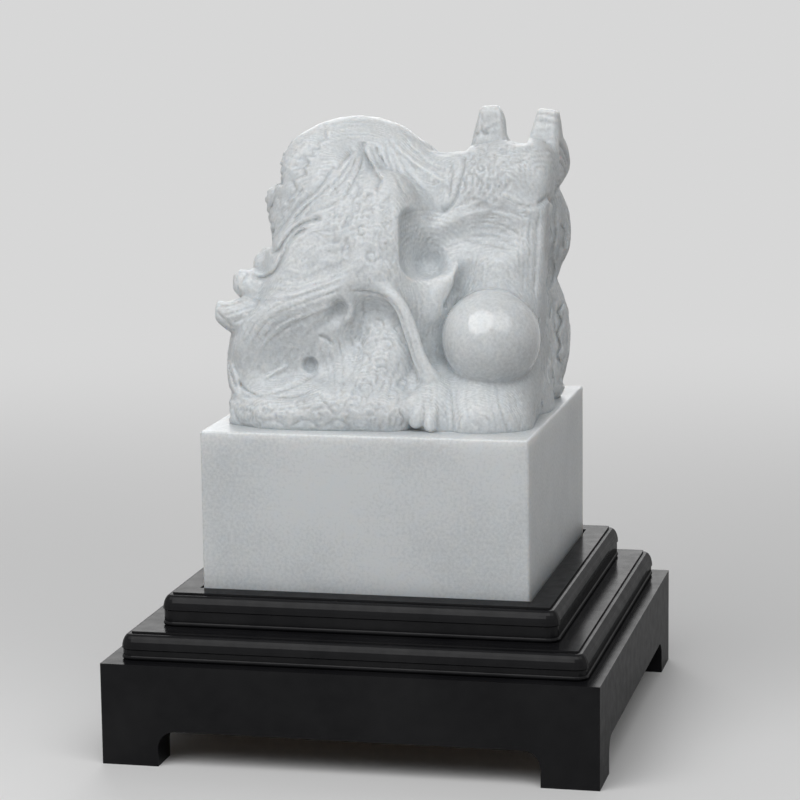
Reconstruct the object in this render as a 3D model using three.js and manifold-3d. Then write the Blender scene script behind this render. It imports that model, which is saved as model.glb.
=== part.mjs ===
// A square jade seal with a coiled dragon for its knob, on a stepped black lacquered wooden stand.
// Millimetres, +Z up, +X to the right, -Y towards the viewer.
// The origin is the centre of the stand's underside.
// The block and its dragon are one stone. The stand is an apron box on four bracket feet, a deck let into
// it, two stepped boards with routed edges, and a felt liner in the recess that the seal lifts out of.
import * as THREE from "three";
import { mergeVertices } from "three/addons/utils/BufferGeometryUtils.js";
import Module from "manifold-3d";

const wasm = await Module();
wasm.setup();

// Driving dimensions of the seal
const sealWidth = 60;
const blockHeight = 30;
const blockBevel = 0.4;
const carvingHeight = 56.5;
const carvingSetback = 0.5;
const carvingCell = 1.9;
const massSoftness = 3;
const strokeSoftness = 0.9;
const hornCornerCut = 0.3;
const printBorder = 2.4;
const printLine = 1.6;
const printGap = 2.4;
const printDepth = 0.8;

// Driving dimensions of the stand
const baseHeight = 18.5;
const apronThickness = 7;
const footWidth = 10.4;
const footGapHeight = 6.5;
const footGapRadius = 3.2;
const deckThickness = 6;
const glueBlockWidth = 9;
const baseTread = 2.7;
const lowerStepHeight = 5;
const lowerTread = 6;
const upperStepHeight = 6;
const rimWidth = 6.3;
const recessDepth = 2;
const recessClearance = 0.5;
const stepCornerRadius = 2.2;
const linerThickness = 0.8;
const linerClearance = 0.3;

// Moulded edge of both steps: a bead at the foot, a flat face, a rounded nose and a thin fillet on top
const beadHeight = 0.9;
const faceSetback = 0.2;
const noseDepth = 1.5;
const noseHeight = 2.6;
const filletSetback = 0.3;
const filletHeight = 0.35;

// Wood screws that hold the deck and both steps together from below
const screwInset = 8;
const screwShankRadius = 1.5;
const screwHeadRadius = 3;
const screwHeadHeight = 1.8;
const screwTipLength = 1.6;
const screwBite = 2.4;
const screwClearance = 0.3;
const driveSlotLength = 3.6;
const driveSlotWidth = 0.7;
const driveSlotDepth = 1;

// Sizes that follow from the driving ones
const recessWidth = sealWidth + 2 * recessClearance;
const upperStepWidth = sealWidth + 2 * rimWidth;
const lowerStepWidth = upperStepWidth + 2 * lowerTread;
const baseWidth = lowerStepWidth + 2 * baseTread;
const boxInside = baseWidth - 2 * apronThickness;
const deckBottom = baseHeight - deckThickness;
const upperStepBottom = baseHeight + lowerStepHeight;
const standTop = upperStepBottom + upperStepHeight;
const recessFloor = standTop - recessDepth;
const blockBottom = recessFloor + linerThickness;
const blockTop = blockBottom + blockHeight;
const screwOffset = recessWidth / 2 - screwInset;

// The dragon is drawn in a field 59 wide and 56.5 high, and stretched to the block that carries it
const drawnWidth = 59;
const drawnHeight = 56.5;
const spread = (sealWidth - 2 * carvingSetback) / drawnWidth;
const rise = carvingHeight / drawnHeight;

// Materials
const finish = (name, color, roughness, metalness) =>
  new THREE.MeshStandardMaterial({ name, color, roughness, metalness });
const jade = finish("white_jade", 0xd9dddd, 0.3, 0);
const lacquer = finish("black_lacquer", 0x0b0b0c, 0.25, 0);
const rawWood = finish("raw_wood", 0x8a6844, 0.8, 0);
const felt = finish("felt", 0x1a1a1c, 1, 0);
const steel = finish("zinc_steel", 0xa9a9a4, 0.4, 0.9);

// A closed geometry as a solid that can be joined and cut
function solidOf(geometry) {
  const bare = geometry.index ? geometry.toNonIndexed() : geometry.clone();
  bare.deleteAttribute("normal");
  bare.deleteAttribute("uv");
  const merged = mergeVertices(bare, 1e-4);
  return new wasm.Manifold(new wasm.Mesh({
    numProp: 3,
    vertProperties: merged.attributes.position.array,
    triVerts: new Uint32Array(merged.index.array),
  }));
}

// A solid back as a geometry
function geometryOf(solid) {
  const mesh = solid.getMesh();
  const geometry = new THREE.BufferGeometry();
  geometry.setAttribute("position", new THREE.BufferAttribute(mesh.vertProperties, 3));
  geometry.setIndex(new THREE.BufferAttribute(mesh.triVerts, 1));
  geometry.computeVertexNormals();
  return geometry;
}

// Many solids joined into one
function joined(solids) {
  return solids.reduce((sum, solid) => sum.add(solid));
}

// A box between two corners
function boxBetween(low, high) {
  const size = high.map((value, axis) => value - low[axis]);
  const geometry = new THREE.BoxGeometry(...size);
  geometry.translate(...low.map((value, axis) => value + size[axis] / 2));
  return geometry;
}

// Rings of points, all of one count, skinned into a closed surface with a flat fan on each end
function skinned(rings) {
  const count = rings[0].length;
  const centre = (ring) => ring.reduce((sum, p) => sum.add(p), new THREE.Vector3()).divideScalar(count);
  const points = [...rings.flat(), centre(rings[0]), centre(rings[rings.length - 1])];
  const index = [];
  for (let r = 0; r + 1 < rings.length; r += 1) {
    for (let i = 0; i < count; i += 1) {
      const a = r * count + i;
      const b = r * count + (i + 1) % count;
      index.push(a, b, b + count, a, b + count, a + count);
    }
  }
  const first = rings.length * count;
  const lastRing = first - count;
  for (let i = 0; i < count; i += 1) {
    const next = (i + 1) % count;
    index.push(first, next, i);
    index.push(first + 1, lastRing + i, lastRing + next);
  }
  const geometry = new THREE.BufferGeometry().setFromPoints(points);
  geometry.setIndex(index);
  return geometry;
}

// One outline of a square with rounded corners, anticlockwise from above
function roundedSquare(halfWidth, radius, z) {
  const arcSteps = 4;
  const ring = [];
  for (let corner = 0; corner < 4; corner += 1) {
    const turn = corner * Math.PI / 2;
    const middle = new THREE.Vector3(halfWidth - radius, halfWidth - radius, z);
    for (let step = 0; step <= arcSteps; step += 1) {
      const angle = step / arcSteps * Math.PI / 2;
      const point = new THREE.Vector3(Math.cos(angle), Math.sin(angle), 0).multiplyScalar(radius).add(middle);
      ring.push(point.applyAxisAngle(new THREE.Vector3(0, 0, 1), turn));
    }
  }
  return ring;
}

// Points of an arc in a moulding's profile, as [setback, height]
function profileArc(setback, height, radius, from, to, steps) {
  return Array.from({ length: steps + 1 }, (_, step) => {
    const angle = from + (to - from) * step / steps;
    return [setback - radius * Math.cos(angle), height + radius * Math.sin(angle)];
  });
}

// The profile that both steps share, from its foot to its top edge
function stepProfile(bottom, height) {
  const top = bottom + height;
  const beadRadius = beadHeight / 2;
  const noseFoot = top - filletHeight - noseHeight;
  const nose = profileArc(noseDepth, 0, noseDepth, 0, Math.PI / 2, 6)
    .map(([setback, up]) => [setback, noseFoot + up * noseHeight / noseDepth]);
  return [
    ...profileArc(beadRadius, bottom + beadRadius, beadRadius, -Math.PI / 2, Math.PI / 3, 5),
    [faceSetback, bottom + beadHeight],
    [faceSetback, noseFoot - faceSetback],
    ...nose,
    [noseDepth + filletSetback, top - filletHeight],
    [noseDepth + filletSetback, top],
  ];
}

// A square board with that profile routed round its edge
function steppedBoard(width, bottom, height) {
  const leastCornerRadius = 0.2;
  const rings = stepProfile(bottom, height).map(([setback, z]) =>
    roundedSquare(width / 2 - setback, Math.max(stepCornerRadius - setback, leastCornerRadius), z));
  return solidOf(skinned(rings));
}

// The screws' holes through a board, from one height to another
function screwHoles(board, from, to) {
  const radius = screwShankRadius + screwClearance;
  return screwPlaces().reduce((cut, [x, y]) => {
    const hole = new THREE.CylinderGeometry(radius, radius, to - from, 16);
    hole.rotateX(Math.PI / 2);
    hole.translate(x, y, (from + to) / 2);
    return cut.subtract(solidOf(hole));
  }, board);
}

// Where the four screws stand
function screwPlaces() {
  return [[-1, -1], [1, -1], [1, 1], [-1, 1]].map(([x, y]) => [x * screwOffset, y * screwOffset]);
}

// An apron board along the front, with its bracket feet and mitred ends
function apron() {
  const half = baseWidth / 2;
  const gapHalf = half - footWidth;
  const arcHeight = footGapHeight - footGapRadius;
  const outline = new THREE.Shape();
  outline.moveTo(-half, 0);
  outline.lineTo(-gapHalf, 0);
  outline.lineTo(-gapHalf, arcHeight);
  outline.absarc(footGapRadius - gapHalf, arcHeight, footGapRadius, Math.PI, Math.PI / 2, true);
  outline.lineTo(gapHalf - footGapRadius, footGapHeight);
  outline.absarc(gapHalf - footGapRadius, arcHeight, footGapRadius, Math.PI / 2, 0, true);
  outline.lineTo(gapHalf, 0);
  outline.lineTo(half, 0);
  outline.lineTo(half, baseHeight);
  outline.lineTo(-half, baseHeight);
  const board = new THREE.ExtrudeGeometry(outline, {
    depth: apronThickness,
    bevelEnabled: false,
    curveSegments: 6,
  });
  board.rotateX(Math.PI / 2);
  board.translate(0, apronThickness - half, 0);

  const plan = new THREE.Shape();
  plan.moveTo(-half, -half);
  plan.lineTo(half, -half);
  plan.lineTo(boxInside / 2, -boxInside / 2);
  plan.lineTo(-boxInside / 2, -boxInside / 2);
  const mitre = new THREE.ExtrudeGeometry(plan, { depth: baseHeight, bevelEnabled: false });
  return geometryOf(solidOf(board).intersect(solidOf(mitre)));
}

// The deck let into the apron box, drilled and countersunk from below
function deck() {
  const half = boxInside / 2;
  const board = solidOf(boxBetween([-half, -half, deckBottom], [half, half, baseHeight]));
  const drilled = screwHoles(board, deckBottom - 1, baseHeight + 1);
  const sink = [
    new THREE.Vector2(0, -1),
    new THREE.Vector2(screwHeadRadius + screwClearance, -1),
    new THREE.Vector2(screwHeadRadius + screwClearance, 0),
    new THREE.Vector2(screwShankRadius + screwClearance, screwHeadHeight + screwClearance),
    new THREE.Vector2(0, screwHeadHeight + screwClearance),
  ];
  return geometryOf(screwPlaces().reduce((cut, [x, y]) => {
    const cone = new THREE.LatheGeometry(sink, 16);
    cone.rotateX(Math.PI / 2);
    cone.translate(x, y, deckBottom);
    return cut.subtract(solidOf(cone));
  }, drilled));
}

// The lower step, drilled for the screws
function lowerStep() {
  const board = steppedBoard(lowerStepWidth, baseHeight, lowerStepHeight);
  return geometryOf(screwHoles(board, baseHeight - 1, upperStepBottom + 1));
}

// The upper step, with the seal's recess above and blind pilot holes below
function upperStep() {
  const half = recessWidth / 2;
  const board = steppedBoard(upperStepWidth, upperStepBottom, upperStepHeight);
  const recess = solidOf(boxBetween([-half, -half, recessFloor], [half, half, standTop + 1]));
  const holeTop = upperStepBottom + screwBite + screwClearance;
  return geometryOf(screwHoles(board.subtract(recess), upperStepBottom - 1, holeTop));
}

// The felt that lies on the recess's floor
function liner() {
  const half = recessWidth / 2 - linerClearance;
  return boxBetween([-half, -half, recessFloor], [half, half, blockBottom]);
}

// A countersunk wood screw standing on its head, with a cross drive
function screw() {
  const length = deckThickness + lowerStepHeight + screwBite;
  const profile = [
    new THREE.Vector2(0, 0),
    new THREE.Vector2(screwHeadRadius, 0),
    new THREE.Vector2(screwShankRadius, screwHeadHeight),
    new THREE.Vector2(screwShankRadius, length - screwTipLength),
    new THREE.Vector2(0, length),
  ];
  const body = new THREE.LatheGeometry(profile, 16);
  body.rotateX(Math.PI / 2);
  const reach = driveSlotLength / 2;
  const narrow = driveSlotWidth / 2;
  const slotX = boxBetween([-reach, -narrow, -1], [reach, narrow, driveSlotDepth]);
  const slotY = boxBetween([-narrow, -reach, -1], [narrow, reach, driveSlotDepth]);
  return geometryOf(solidOf(body).subtract(solidOf(slotX)).subtract(solidOf(slotY)));
}

// A glue block in the front left corner of the apron box, under the deck
function glueBlock() {
  const outer = -boxInside / 2;
  const inner = outer + glueBlockWidth;
  return boxBetween([outer, outer, footGapHeight], [inner, inner, deckBottom]);
}

// The dragon is drawn by strokes of stone: each point is right, back, height over the block's top, and
// radius. A stroke swells and narrows from point to point. The masses run into each other softly.
const core = [
  [[-24, 0, 1, 9], [-4, 0, -0.5, 12], [11.5, 0, 0, 12], [20, 2, 0.5, 9.5]],
  [[-19.5, 0, 11.5, 10], [-4, 2, 11.5, 11], [13, 2, 12, 11], [20, 2, 12, 8.5]],
  [[-17.5, 6, 25, 9], [-5.5, 10, 27.5, 9], [7.5, 12, 28.5, 9], [19, 8, 31, 8]],
];

// The body rises on the left, goes over the arch into the neck, and lies in two coils at the back
const body = [
  [[-19, -6, 21, 8], [-16.5, -5, 30, 8], [-14.5, -3, 38, 8], [-14, 0, 44.5, 8.5], [-9, 3, 46.5, 8],
    [-1, 3, 45, 7.5], [5, 2, 41.5, 6.8], [13.5, 2, 40.5, 6.5]],
  [[-17, 8, 35, 7], [-16.5, 8, 43, 7.5], [-10, 6, 46, 8], [-2.5, 6, 44.5, 7.5]],
  [[-20, 14, 4.5, 8], [-15, 16, 12, 9], [-3.5, 17, 18, 9.5], [8.5, 17, 20, 9.5], [17, 16, 12.5, 9],
    [16.5, 14, 3.5, 9]],
  [[-18, 15, 26, 5], [-8, 20, 31, 5.5], [4, 21, 33, 5.5], [14, 17, 36, 5.5]],
];

// Hair on the chest
const chest = [
  [[-8.5, -5, 41.5, 7], [-4.5, -9, 36, 6.5], [-3, -12, 31, 6], [-3, -13, 26.5, 5.5]],
  [[-10, -8, 34, 8], [-7.5, -10, 26, 8]],
  [[-1.5, -7, 38.5, 4.5], [-1, -9, 34, 4.5], [-1, -11, 29, 4.5]],
];

// Shoulder, and its sweep down the left
const shoulder = [
  [[-13.5, -10, 28.5, 8], [-15.5, -12, 23.5, 7]],
  [[-8.5, -13, 21, 5], [-15, -14, 18, 6.5], [-20.5, -14, 14.5, 7], [-21.5, -14, 9, 7], [-20, -16, 4.5, 6]],
  [[-16, -12, 9.5, 8], [-10.5, -10, 13, 7]],
];

// The coil under the foreleg, and the ground along the front
const coil = [
  [[-11.5, -15, 3.5, 7], [-5.5, -15, 5, 7.5], [0, -14, 8, 7.8], [1.5, -12, 13.5, 7], [-3, -10, 19, 6]],
  [[-24, -20, 2, 3.5], [-17, -22, 2, 4.5], [-8, -22, 2.5, 4.5], [3, -21, 2.5, 5]],
];

// Head, cheek tuft, throat and beard, and the hair that carries the pearl
const head = [
  [[13, 2, 42.5, 6], [19.5, 0, 43.5, 6.5], [24, 1, 44.5, 6], [23.5, 8, 44, 6], [23.5, 14, 45, 5.5]],
  [[25, 13, 47.5, 3.5], [25.5, 18.5, 45, 3.8], [25, 18.5, 41.5, 3.2]],
  [[15, 0, 35, 5], [19.5, -1, 32, 6], [20, -4, 25, 6.5], [20.5, -6, 18, 7]],
  [[22, -1, 36.5, 5.8], [22, -4, 30.5, 5.8], [22.5, -6, 21.5, 6], [22, -7, 12.5, 6.5], [22.5, -10, 3.5, 6.5]],
  [[17.5, -14, 6, 6], [19, -19, 1.5, 6]],
  [[21.5, -13, 6, 6], [23, -17, 1, 6]],
];

// The slip of body between foreleg and pearl
const slip = [
  [[3, -7.5, 21.5, 5], [7.5, -7.5, 21, 5], [10.5, -7.5, 21.5, 4.5]],
  [[6.5, -8, 17.5, 5], [8, -10, 9, 5], [9.5, -15, 4, 6]],
];

// The mane down the right side, in two rolls
const mane = [
  [[23, 18.5, 37.5, 5.5], [22, 18.5, 31.5, 7.2], [22, 18, 26.5, 5.5]],
  [[21, 5, 37, 5.5], [20.5, 5, 31, 7.2], [21, 5, 25, 5.5]],
  [[22.5, 18.5, 19.5, 5.5], [22, 18.5, 13, 7.4], [21, 16, 5, 7.4]],
  [[21, 5, 19, 5.8], [20.5, 4, 13, 7.4], [20.5, 2, 5, 7.4]],
  [[20.5, -6, 30, 5], [20.5, -7, 20, 6], [20.5, -8, 8, 7]],
];

// Crisper forms stand on the masses: first the pearl
const pearl = [[[19.5, -13.5, 15.5, 8.5], [20.5, -13.5, 16, 8.5]]];

// Foreleg, paw and three claws
const foreleg = [
  [[-7.5, -15.5, 25, 2.4], [-2.5, -18, 25.5, 1.6], [2, -19, 24.5, 1.4], [5, -19.5, 21.5, 1.4],
    [7, -19.5, 17.5, 1.4], [8.5, -19.5, 12.5, 1.5], [10, -19, 9, 2]],
  [[10, -16, 7, 3.6], [11, -18.5, 4, 4.4], [12, -19, 1.5, 5]],
  ...[[6.5, -23.5, 3], [8.5, -24, 1.8], [11, -24.5, 1]].map((tip) => [[10.5, -21, 5.5, 1.8], [...tip, 1.3]]),
];

// The ridge that parts front and right side, the brow over the hollow, and the slip's right edge
const ridges = [
  [[27.5, -4, 39, 2.2], [27, -6, 32.5, 2.2], [26.5, -8, 23.5, 2.2], [26, -9, 14.5, 2.4], [25.5, -11, 5, 2.8]],
  [[10, -3.5, 38.5, 2.6], [14.5, -4.5, 40.5, 3], [19, -5, 40.5, 3.2], [23, -5, 39, 3], [26, -5, 37.5, 2.6]],
  [[12.5, -10.5, 28, 2.2], [12, -11, 25, 2.4], [11, -11, 21.5, 2.4], [9, -11.5, 18.5, 2]],
];

// Flame-shaped tips that step down the left side
const flames = [
  [[-18, -4, 30, 5], [-21, -2, 35, 3.6], [-22.5, -2, 39, 3.2]],
  [[-16.5, -9, 25, 5.5], [-20.5, -9, 26.5, 3.6], [-23, -10, 28, 2.3]],
  [[-19, -11, 21.5, 5.5], [-23.5, -12, 23.5, 3.8], [-25.5, -13, 25, 2.8]],
  [[-21.5, -15, 17.5, 5], [-25.5, -17, 19, 3.6], [-27.5, -18, 20, 2.6]],
];

// A cord of hair that sweeps to the lower left, and rolls of cloud at the foot
const sweeps = [
  [[-6.5, -17.5, 24.5, 1.6], [-12.5, -20, 22.5, 1.6], [-17.5, -21, 21, 1.6], [-21, -21.5, 18, 1.5],
    [-23.5, -20.5, 14.5, 1.4]],
  [[-14, -20, 5, 4], [-9.5, -22, 4, 4], [-5, -22, 3.5, 4.4]],
];

// Two horn stubs with flat tops: foot and top, each as right, back, height and half width
const horns = [
  [[16.5, 7, 38, 4.8], [16.5, 7, 56.5, 2.2]],
  [[25.8, 10, 42, 3.6], [26.4, 10.5, 55.5, 2.3]],
];

// Hollows: the drilled one under the neck with its deeper floor, the scoop under the head, the groove
// beside the slip, the slot beside the foreleg, the dish at the lower left, and the mane's partings
const hollows = [
  [[12, -26, 35.5, 5.7], [9, -11, 34, 5.7]],
  [[12, -26, 33, 5.6], [9, -11, 31.5, 5.6]],
  [[9, -13, 31, 4.8], [7.5, -6, 28.5, 3.6]],
  [[11.5, -10, 33.5, 4.4], [16.5, -9, 34.5, 4.6], [21, -9, 34, 4.2], [25, -10, 33, 2.6]],
  [[15.5, -13, 30, 1.5], [15.5, -11.5, 26.5, 1.6], [14.5, -12, 23, 1.5], [12.5, -14, 19, 1.2]],
  [[8, -15, 17.5, 1.5], [9, -15, 13.5, 2.2], [10, -16, 11, 1.6]],
  [[-16, -30.5, 12.5, 9.2], [-14, -30, 12, 8.6]],
  [[31, 26, 23.5, 3.4], [31, 8, 23.5, 3.2], [30.5, -4, 24, 1.6]],
  [[31.5, 26, 40.5, 3], [31.5, 6, 39.5, 2.4]],
];

// A point of the drawing as it stands on the block
function onBlock({ x, y, z }) {
  return new THREE.Vector3(x * spread, y * spread, blockTop + z * rise);
}

// A stroke as short pieces, each a start, a step to its end, and the radius at both
function strokePieces(points) {
  const places = points.map(([x, y, h]) => new THREE.Vector3(x, y, h));
  if (points.length === 1) {
    return [{ from: places[0], step: new THREE.Vector3(), r: points[0][3], grow: 0 }];
  }
  const curve = new THREE.CatmullRomCurve3(places);
  const perPoint = 3;
  const count = (points.length - 1) * perPoint;
  return Array.from({ length: count }, (_, i) => {
    const before = points[Math.floor(i / perPoint)][3];
    const after = points[Math.floor(i / perPoint) + 1][3];
    const from = curve.getPoint(i / count);
    return {
      from,
      step: curve.getPoint((i + 1) / count).sub(from),
      r: THREE.MathUtils.lerp(before, after, (i % perPoint) / perPoint),
      grow: (after - before) / perPoint,
    };
  });
}

// Distance from a point to a piece of a stroke, negative inside it
function pieceDistance(point, { from, step, r, grow }) {
  const away = point.clone().sub(from);
  const length = step.lengthSq();
  const t = length > 0 ? THREE.MathUtils.clamp(away.dot(step) / length, 0, 1) : 0;
  return away.addScaledVector(step, -t).length() - r - grow * t;
}

// The lesser of two distances, rounded off where they are close
function softLeast(a, b, softness) {
  const near = Math.max(softness - Math.abs(a - b), 0) / softness;
  return Math.min(a, b) - near * near * softness / 4;
}

const masses = [core, body, chest, shoulder, coil, head, slip, mane].flat().map(strokePieces);
const forms = [pearl, foreleg, ridges, flames, sweeps].flat().map(strokePieces);
const cuts = hollows.map(strokePieces);

// Distance from a point of the drawing to the carving, negative inside the stone
function carvingDistance(point) {
  const edge = drawnWidth / 2;
  const toStroke = (pieces) => Math.min(...pieces.map((piece) => pieceDistance(point, piece)));
  const mass = masses.map(toStroke).reduce((least, distance) => softLeast(least, distance, massSoftness));
  const walls = Math.max(Math.abs(point.x), Math.abs(point.y)) - edge;
  const stone = forms
    .map(toStroke)
    .reduce((least, distance) => softLeast(least, distance, strokeSoftness), Math.max(mass, walls));
  const hollow = Math.min(...cuts.map(toStroke));
  return Math.max(stone, -hollow, walls, point.z - drawnHeight, -point.z - carvingCell);
}

// The eight corners of a cell, and its twelve edges as pairs of corners
const cellCorners = Array.from({ length: 8 }, (_, c) => [c & 1, (c >> 1) & 1, (c >> 2) & 1]);
const cellEdges = cellCorners.flatMap((_, c) =>
  [1, 2, 4].filter((bit) => !(c & bit)).map((bit) => [c, c | bit]));

// Whether the corners of one kind hang together along the cell's edges
function connected(wanted) {
  const members = cellCorners.map((_, c) => c).filter((c) => wanted[c]);
  const reached = new Set(members.slice(0, 1));
  for (let round = 0; round < members.length; round += 1) {
    for (const [a, b] of cellEdges) {
      if (wanted[a] && wanted[b] && (reached.has(a) || reached.has(b))) reached.add(a).add(b);
    }
  }
  return reached.size === members.length;
}

// Which points of a grid can be reached from its first point through open ones
function openFromOutside(field, count) {
  const strides = [1, count[0], count[0] * count[1]];
  const reached = new Uint8Array(field.length);
  const queue = [0];
  reached[0] = 1;
  while (queue.length) {
    const id = queue.pop();
    strides.forEach((stride, axis) => {
      const place = Math.floor(id / stride) % count[axis];
      const beside = [place > 0 ? id - stride : id, place + 1 < count[axis] ? id + stride : id];
      for (const next of beside) {
        if (reached[next] || field[next] < 0) continue;
        reached[next] = 1;
        queue.push(next);
      }
    });
  }
  return reached;
}

// The carving as a closed surface: one point in each cell that the surface crosses, and a face for each
// crossed grid line. Closed hollows, and cells that two sheets would share, are filled first, so there is
// one outer skin that never touches itself.
function carvingSurface() {
  const cell = carvingCell;
  const margin = 1.5 * cell;
  const start = [-drawnWidth / 2 - margin, -drawnWidth / 2 - margin, -cell - margin];
  const reach = [drawnWidth + 2 * margin, drawnWidth + 2 * margin, drawnHeight + cell + 2 * margin];
  const count = reach.map((size) => Math.ceil(size / cell) + 1);
  const at = (i, j, k) => (k * count[1] + j) * count[0] + i;
  const place = (i, j, k) => new THREE.Vector3(start[0] + i * cell, start[1] + j * cell, start[2] + k * cell);
  const field = new Float64Array(count[0] * count[1] * count[2]);
  const nearSurface = cell / 100;
  const justInside = -cell / 4;
  const everyPoint = (low, high, visit) => {
    for (let k = low; k < count[2] - high; k += 1) {
      for (let j = low; j < count[1] - high; j += 1) {
        for (let i = low; i < count[0] - high; i += 1) {
          visit(i, j, k);
        }
      }
    }
  };
  everyPoint(0, 0, (i, j, k) => {
    field[at(i, j, k)] = carvingDistance(place(i, j, k)) || nearSurface;
  });

  let filled = true;
  while (filled) {
    filled = false;
    const open = openFromOutside(field, count);
    field.forEach((value, id) => {
      if (value > 0 && !open[id]) field[id] = justInside;
    });
    everyPoint(0, 1, (i, j, k) => {
      const ids = cellCorners.map(([a, b, c]) => at(i + a, j + b, k + c));
      const inside = ids.map((id) => field[id] < 0);
      if (connected(inside) && connected(inside.map((value) => !value))) return;
      const nearest = ids.filter((id) => field[id] > 0).sort((a, b) => field[a] - field[b])[0];
      field[nearest] = justInside;
      filled = true;
    });
  }

  const points = [];
  const pointOf = new Map();
  everyPoint(0, 1, (i, j, k) => {
    const values = cellCorners.map(([a, b, c]) => field[at(i + a, j + b, k + c)]);
    const crossed = cellEdges.filter(([a, b]) => values[a] < 0 !== values[b] < 0);
    if (!crossed.length) return;
    const sum = new THREE.Vector3();
    for (const [a, b] of crossed) {
      const t = values[a] / (values[a] - values[b]);
      sum.add(new THREE.Vector3(...cellCorners[a]).lerp(new THREE.Vector3(...cellCorners[b]), t));
    }
    pointOf.set(at(i, j, k), points.length);
    points.push(sum.multiplyScalar(cell / crossed.length).add(place(i, j, k)));
  });

  const index = [];
  const face = (cells, flip) => {
    const [a, b, c, d] = cells.map((id) => pointOf.get(id));
    index.push(...(flip ? [a, c, b, a, d, c] : [a, b, c, a, c, d]));
  };
  everyPoint(1, 1, (i, j, k) => {
    const here = field[at(i, j, k)] < 0;
    if (here !== field[at(i + 1, j, k)] < 0) {
      face([at(i, j - 1, k - 1), at(i, j, k - 1), at(i, j, k), at(i, j - 1, k)], !here);
    }
    if (here !== field[at(i, j + 1, k)] < 0) {
      face([at(i - 1, j, k - 1), at(i - 1, j, k), at(i, j, k), at(i, j, k - 1)], !here);
    }
    if (here !== field[at(i, j, k + 1)] < 0) {
      face([at(i - 1, j - 1, k), at(i, j - 1, k), at(i, j, k), at(i - 1, j, k)], !here);
    }
  });
  const geometry = new THREE.BufferGeometry().setFromPoints(points.map(onBlock));
  geometry.setIndex(index);
  return geometry;
}

// A horn: a square block with cut corners that narrows towards its flat top
function horn(ends) {
  const level = ([x, y, h, half]) => {
    const cut = half * (1 - hornCornerCut);
    const sides = [[half, -cut], [half, cut], [cut, half], [-cut, half]];
    const around = [...sides, ...sides.map(([right, back]) => [-right, -back])];
    return around.map(([right, back]) => onBlock(new THREE.Vector3(x + right, y + back, h)));
  };
  return solidOf(skinned(ends.map(level)));
}

// The seal's block, from a bevelled box with the print face cut into its underside
function block() {
  const half = sealWidth / 2;
  const inner = half - blockBevel;
  const corners = [[1, 1], [-1, 1], [-1, -1], [1, -1]];
  const level = (reach, z) => corners.map(([x, y]) => new THREE.Vector3(x * reach, y * reach, z));
  const body = solidOf(skinned([
    level(inner, blockBottom),
    level(half, blockBottom + blockBevel),
    level(half, blockTop - blockBevel),
    level(inner, blockTop),
  ]));
  return body.subtract(printGround());
}

// The ground between the raised lines of the print face: a border, and a square spiral wound inwards
function printGround() {
  const roof = blockBottom + printDepth;
  const field = sealWidth / 2 - printBorder - blockBevel;
  const ground = solidOf(boxBetween([-field, -field, blockBottom - 1], [field, field, roof]));
  const pitch = printLine + printGap;
  const line = (x0, y0, x1, y1) => solidOf(boxBetween([x0, y0, blockBottom - 2], [x1, y1, roof + 1]));
  const lines = [];
  for (let reach = field - printGap; reach > pitch; reach -= pitch) {
    const start = lines.length ? -reach - pitch : -reach;
    lines.push(
      line(start, -reach, reach, printLine - reach),
      line(reach - printLine, -reach, reach, reach),
      line(-reach, reach - printLine, reach, reach),
      line(-reach, pitch - reach, printLine - reach, reach),
    );
  }
  return ground.subtract(joined(lines));
}

// Block and dragon in one, with the horns kept inside the carving's walls
function sealStone() {
  const half = sealWidth / 2 - carvingSetback;
  const field = solidOf(boxBetween([-half, -half, blockTop], [half, half, blockTop + 2 * carvingHeight]));
  return geometryOf(joined([block(), solidOf(carvingSurface()), joined(horns.map(horn)).intersect(field)]));
}

const seal = new THREE.Group();
const stand = new THREE.Group();

// One named piece in its group
function piece(group, name, geometry, material) {
  const mesh = new THREE.Mesh(geometry, material);
  mesh.name = name;
  group.add(mesh);
  return mesh;
}

piece(seal, "seal_stone", sealStone(), jade);
piece(stand, "felt_liner", liner(), felt);
piece(stand, "upper_step", upperStep(), lacquer);
piece(stand, "lower_step", lowerStep(), lacquer);
piece(stand, "deck_panel", deck(), rawWood);

["front", "right", "back", "left"].forEach((side, quarter) => {
  piece(stand, `apron_${side}`, apron(), lacquer).rotation.z = quarter * Math.PI / 2;
});

["front_left", "front_right", "back_right", "back_left"].forEach((corner, quarter) => {
  piece(stand, `glue_block_${corner}`, glueBlock(), rawWood).rotation.z = quarter * Math.PI / 2;
  const [x, y] = screwPlaces()[quarter];
  piece(stand, `screw_${corner}`, screw(), steel).position.set(x, y, deckBottom);
});

const part = new THREE.Group();
part.name = "dragon_seal_on_stand";
part.add(seal, stand);

export default part;
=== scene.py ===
"""Looks of the jade dragon seal on its lacquered stand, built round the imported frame.

The stone is sculpted here: its big forms are soft strokes in a distance field, its carving is drawn as
reliefs on the photograph's view and on four square-on views, and the field is skinned and joined to the
block with its print face. The stand keeps the frame's solids and gets its lacquer, wood and steel.
"""
import math

import bmesh
import bpy
import numpy as np
from mathutils import Matrix, Vector


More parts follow.
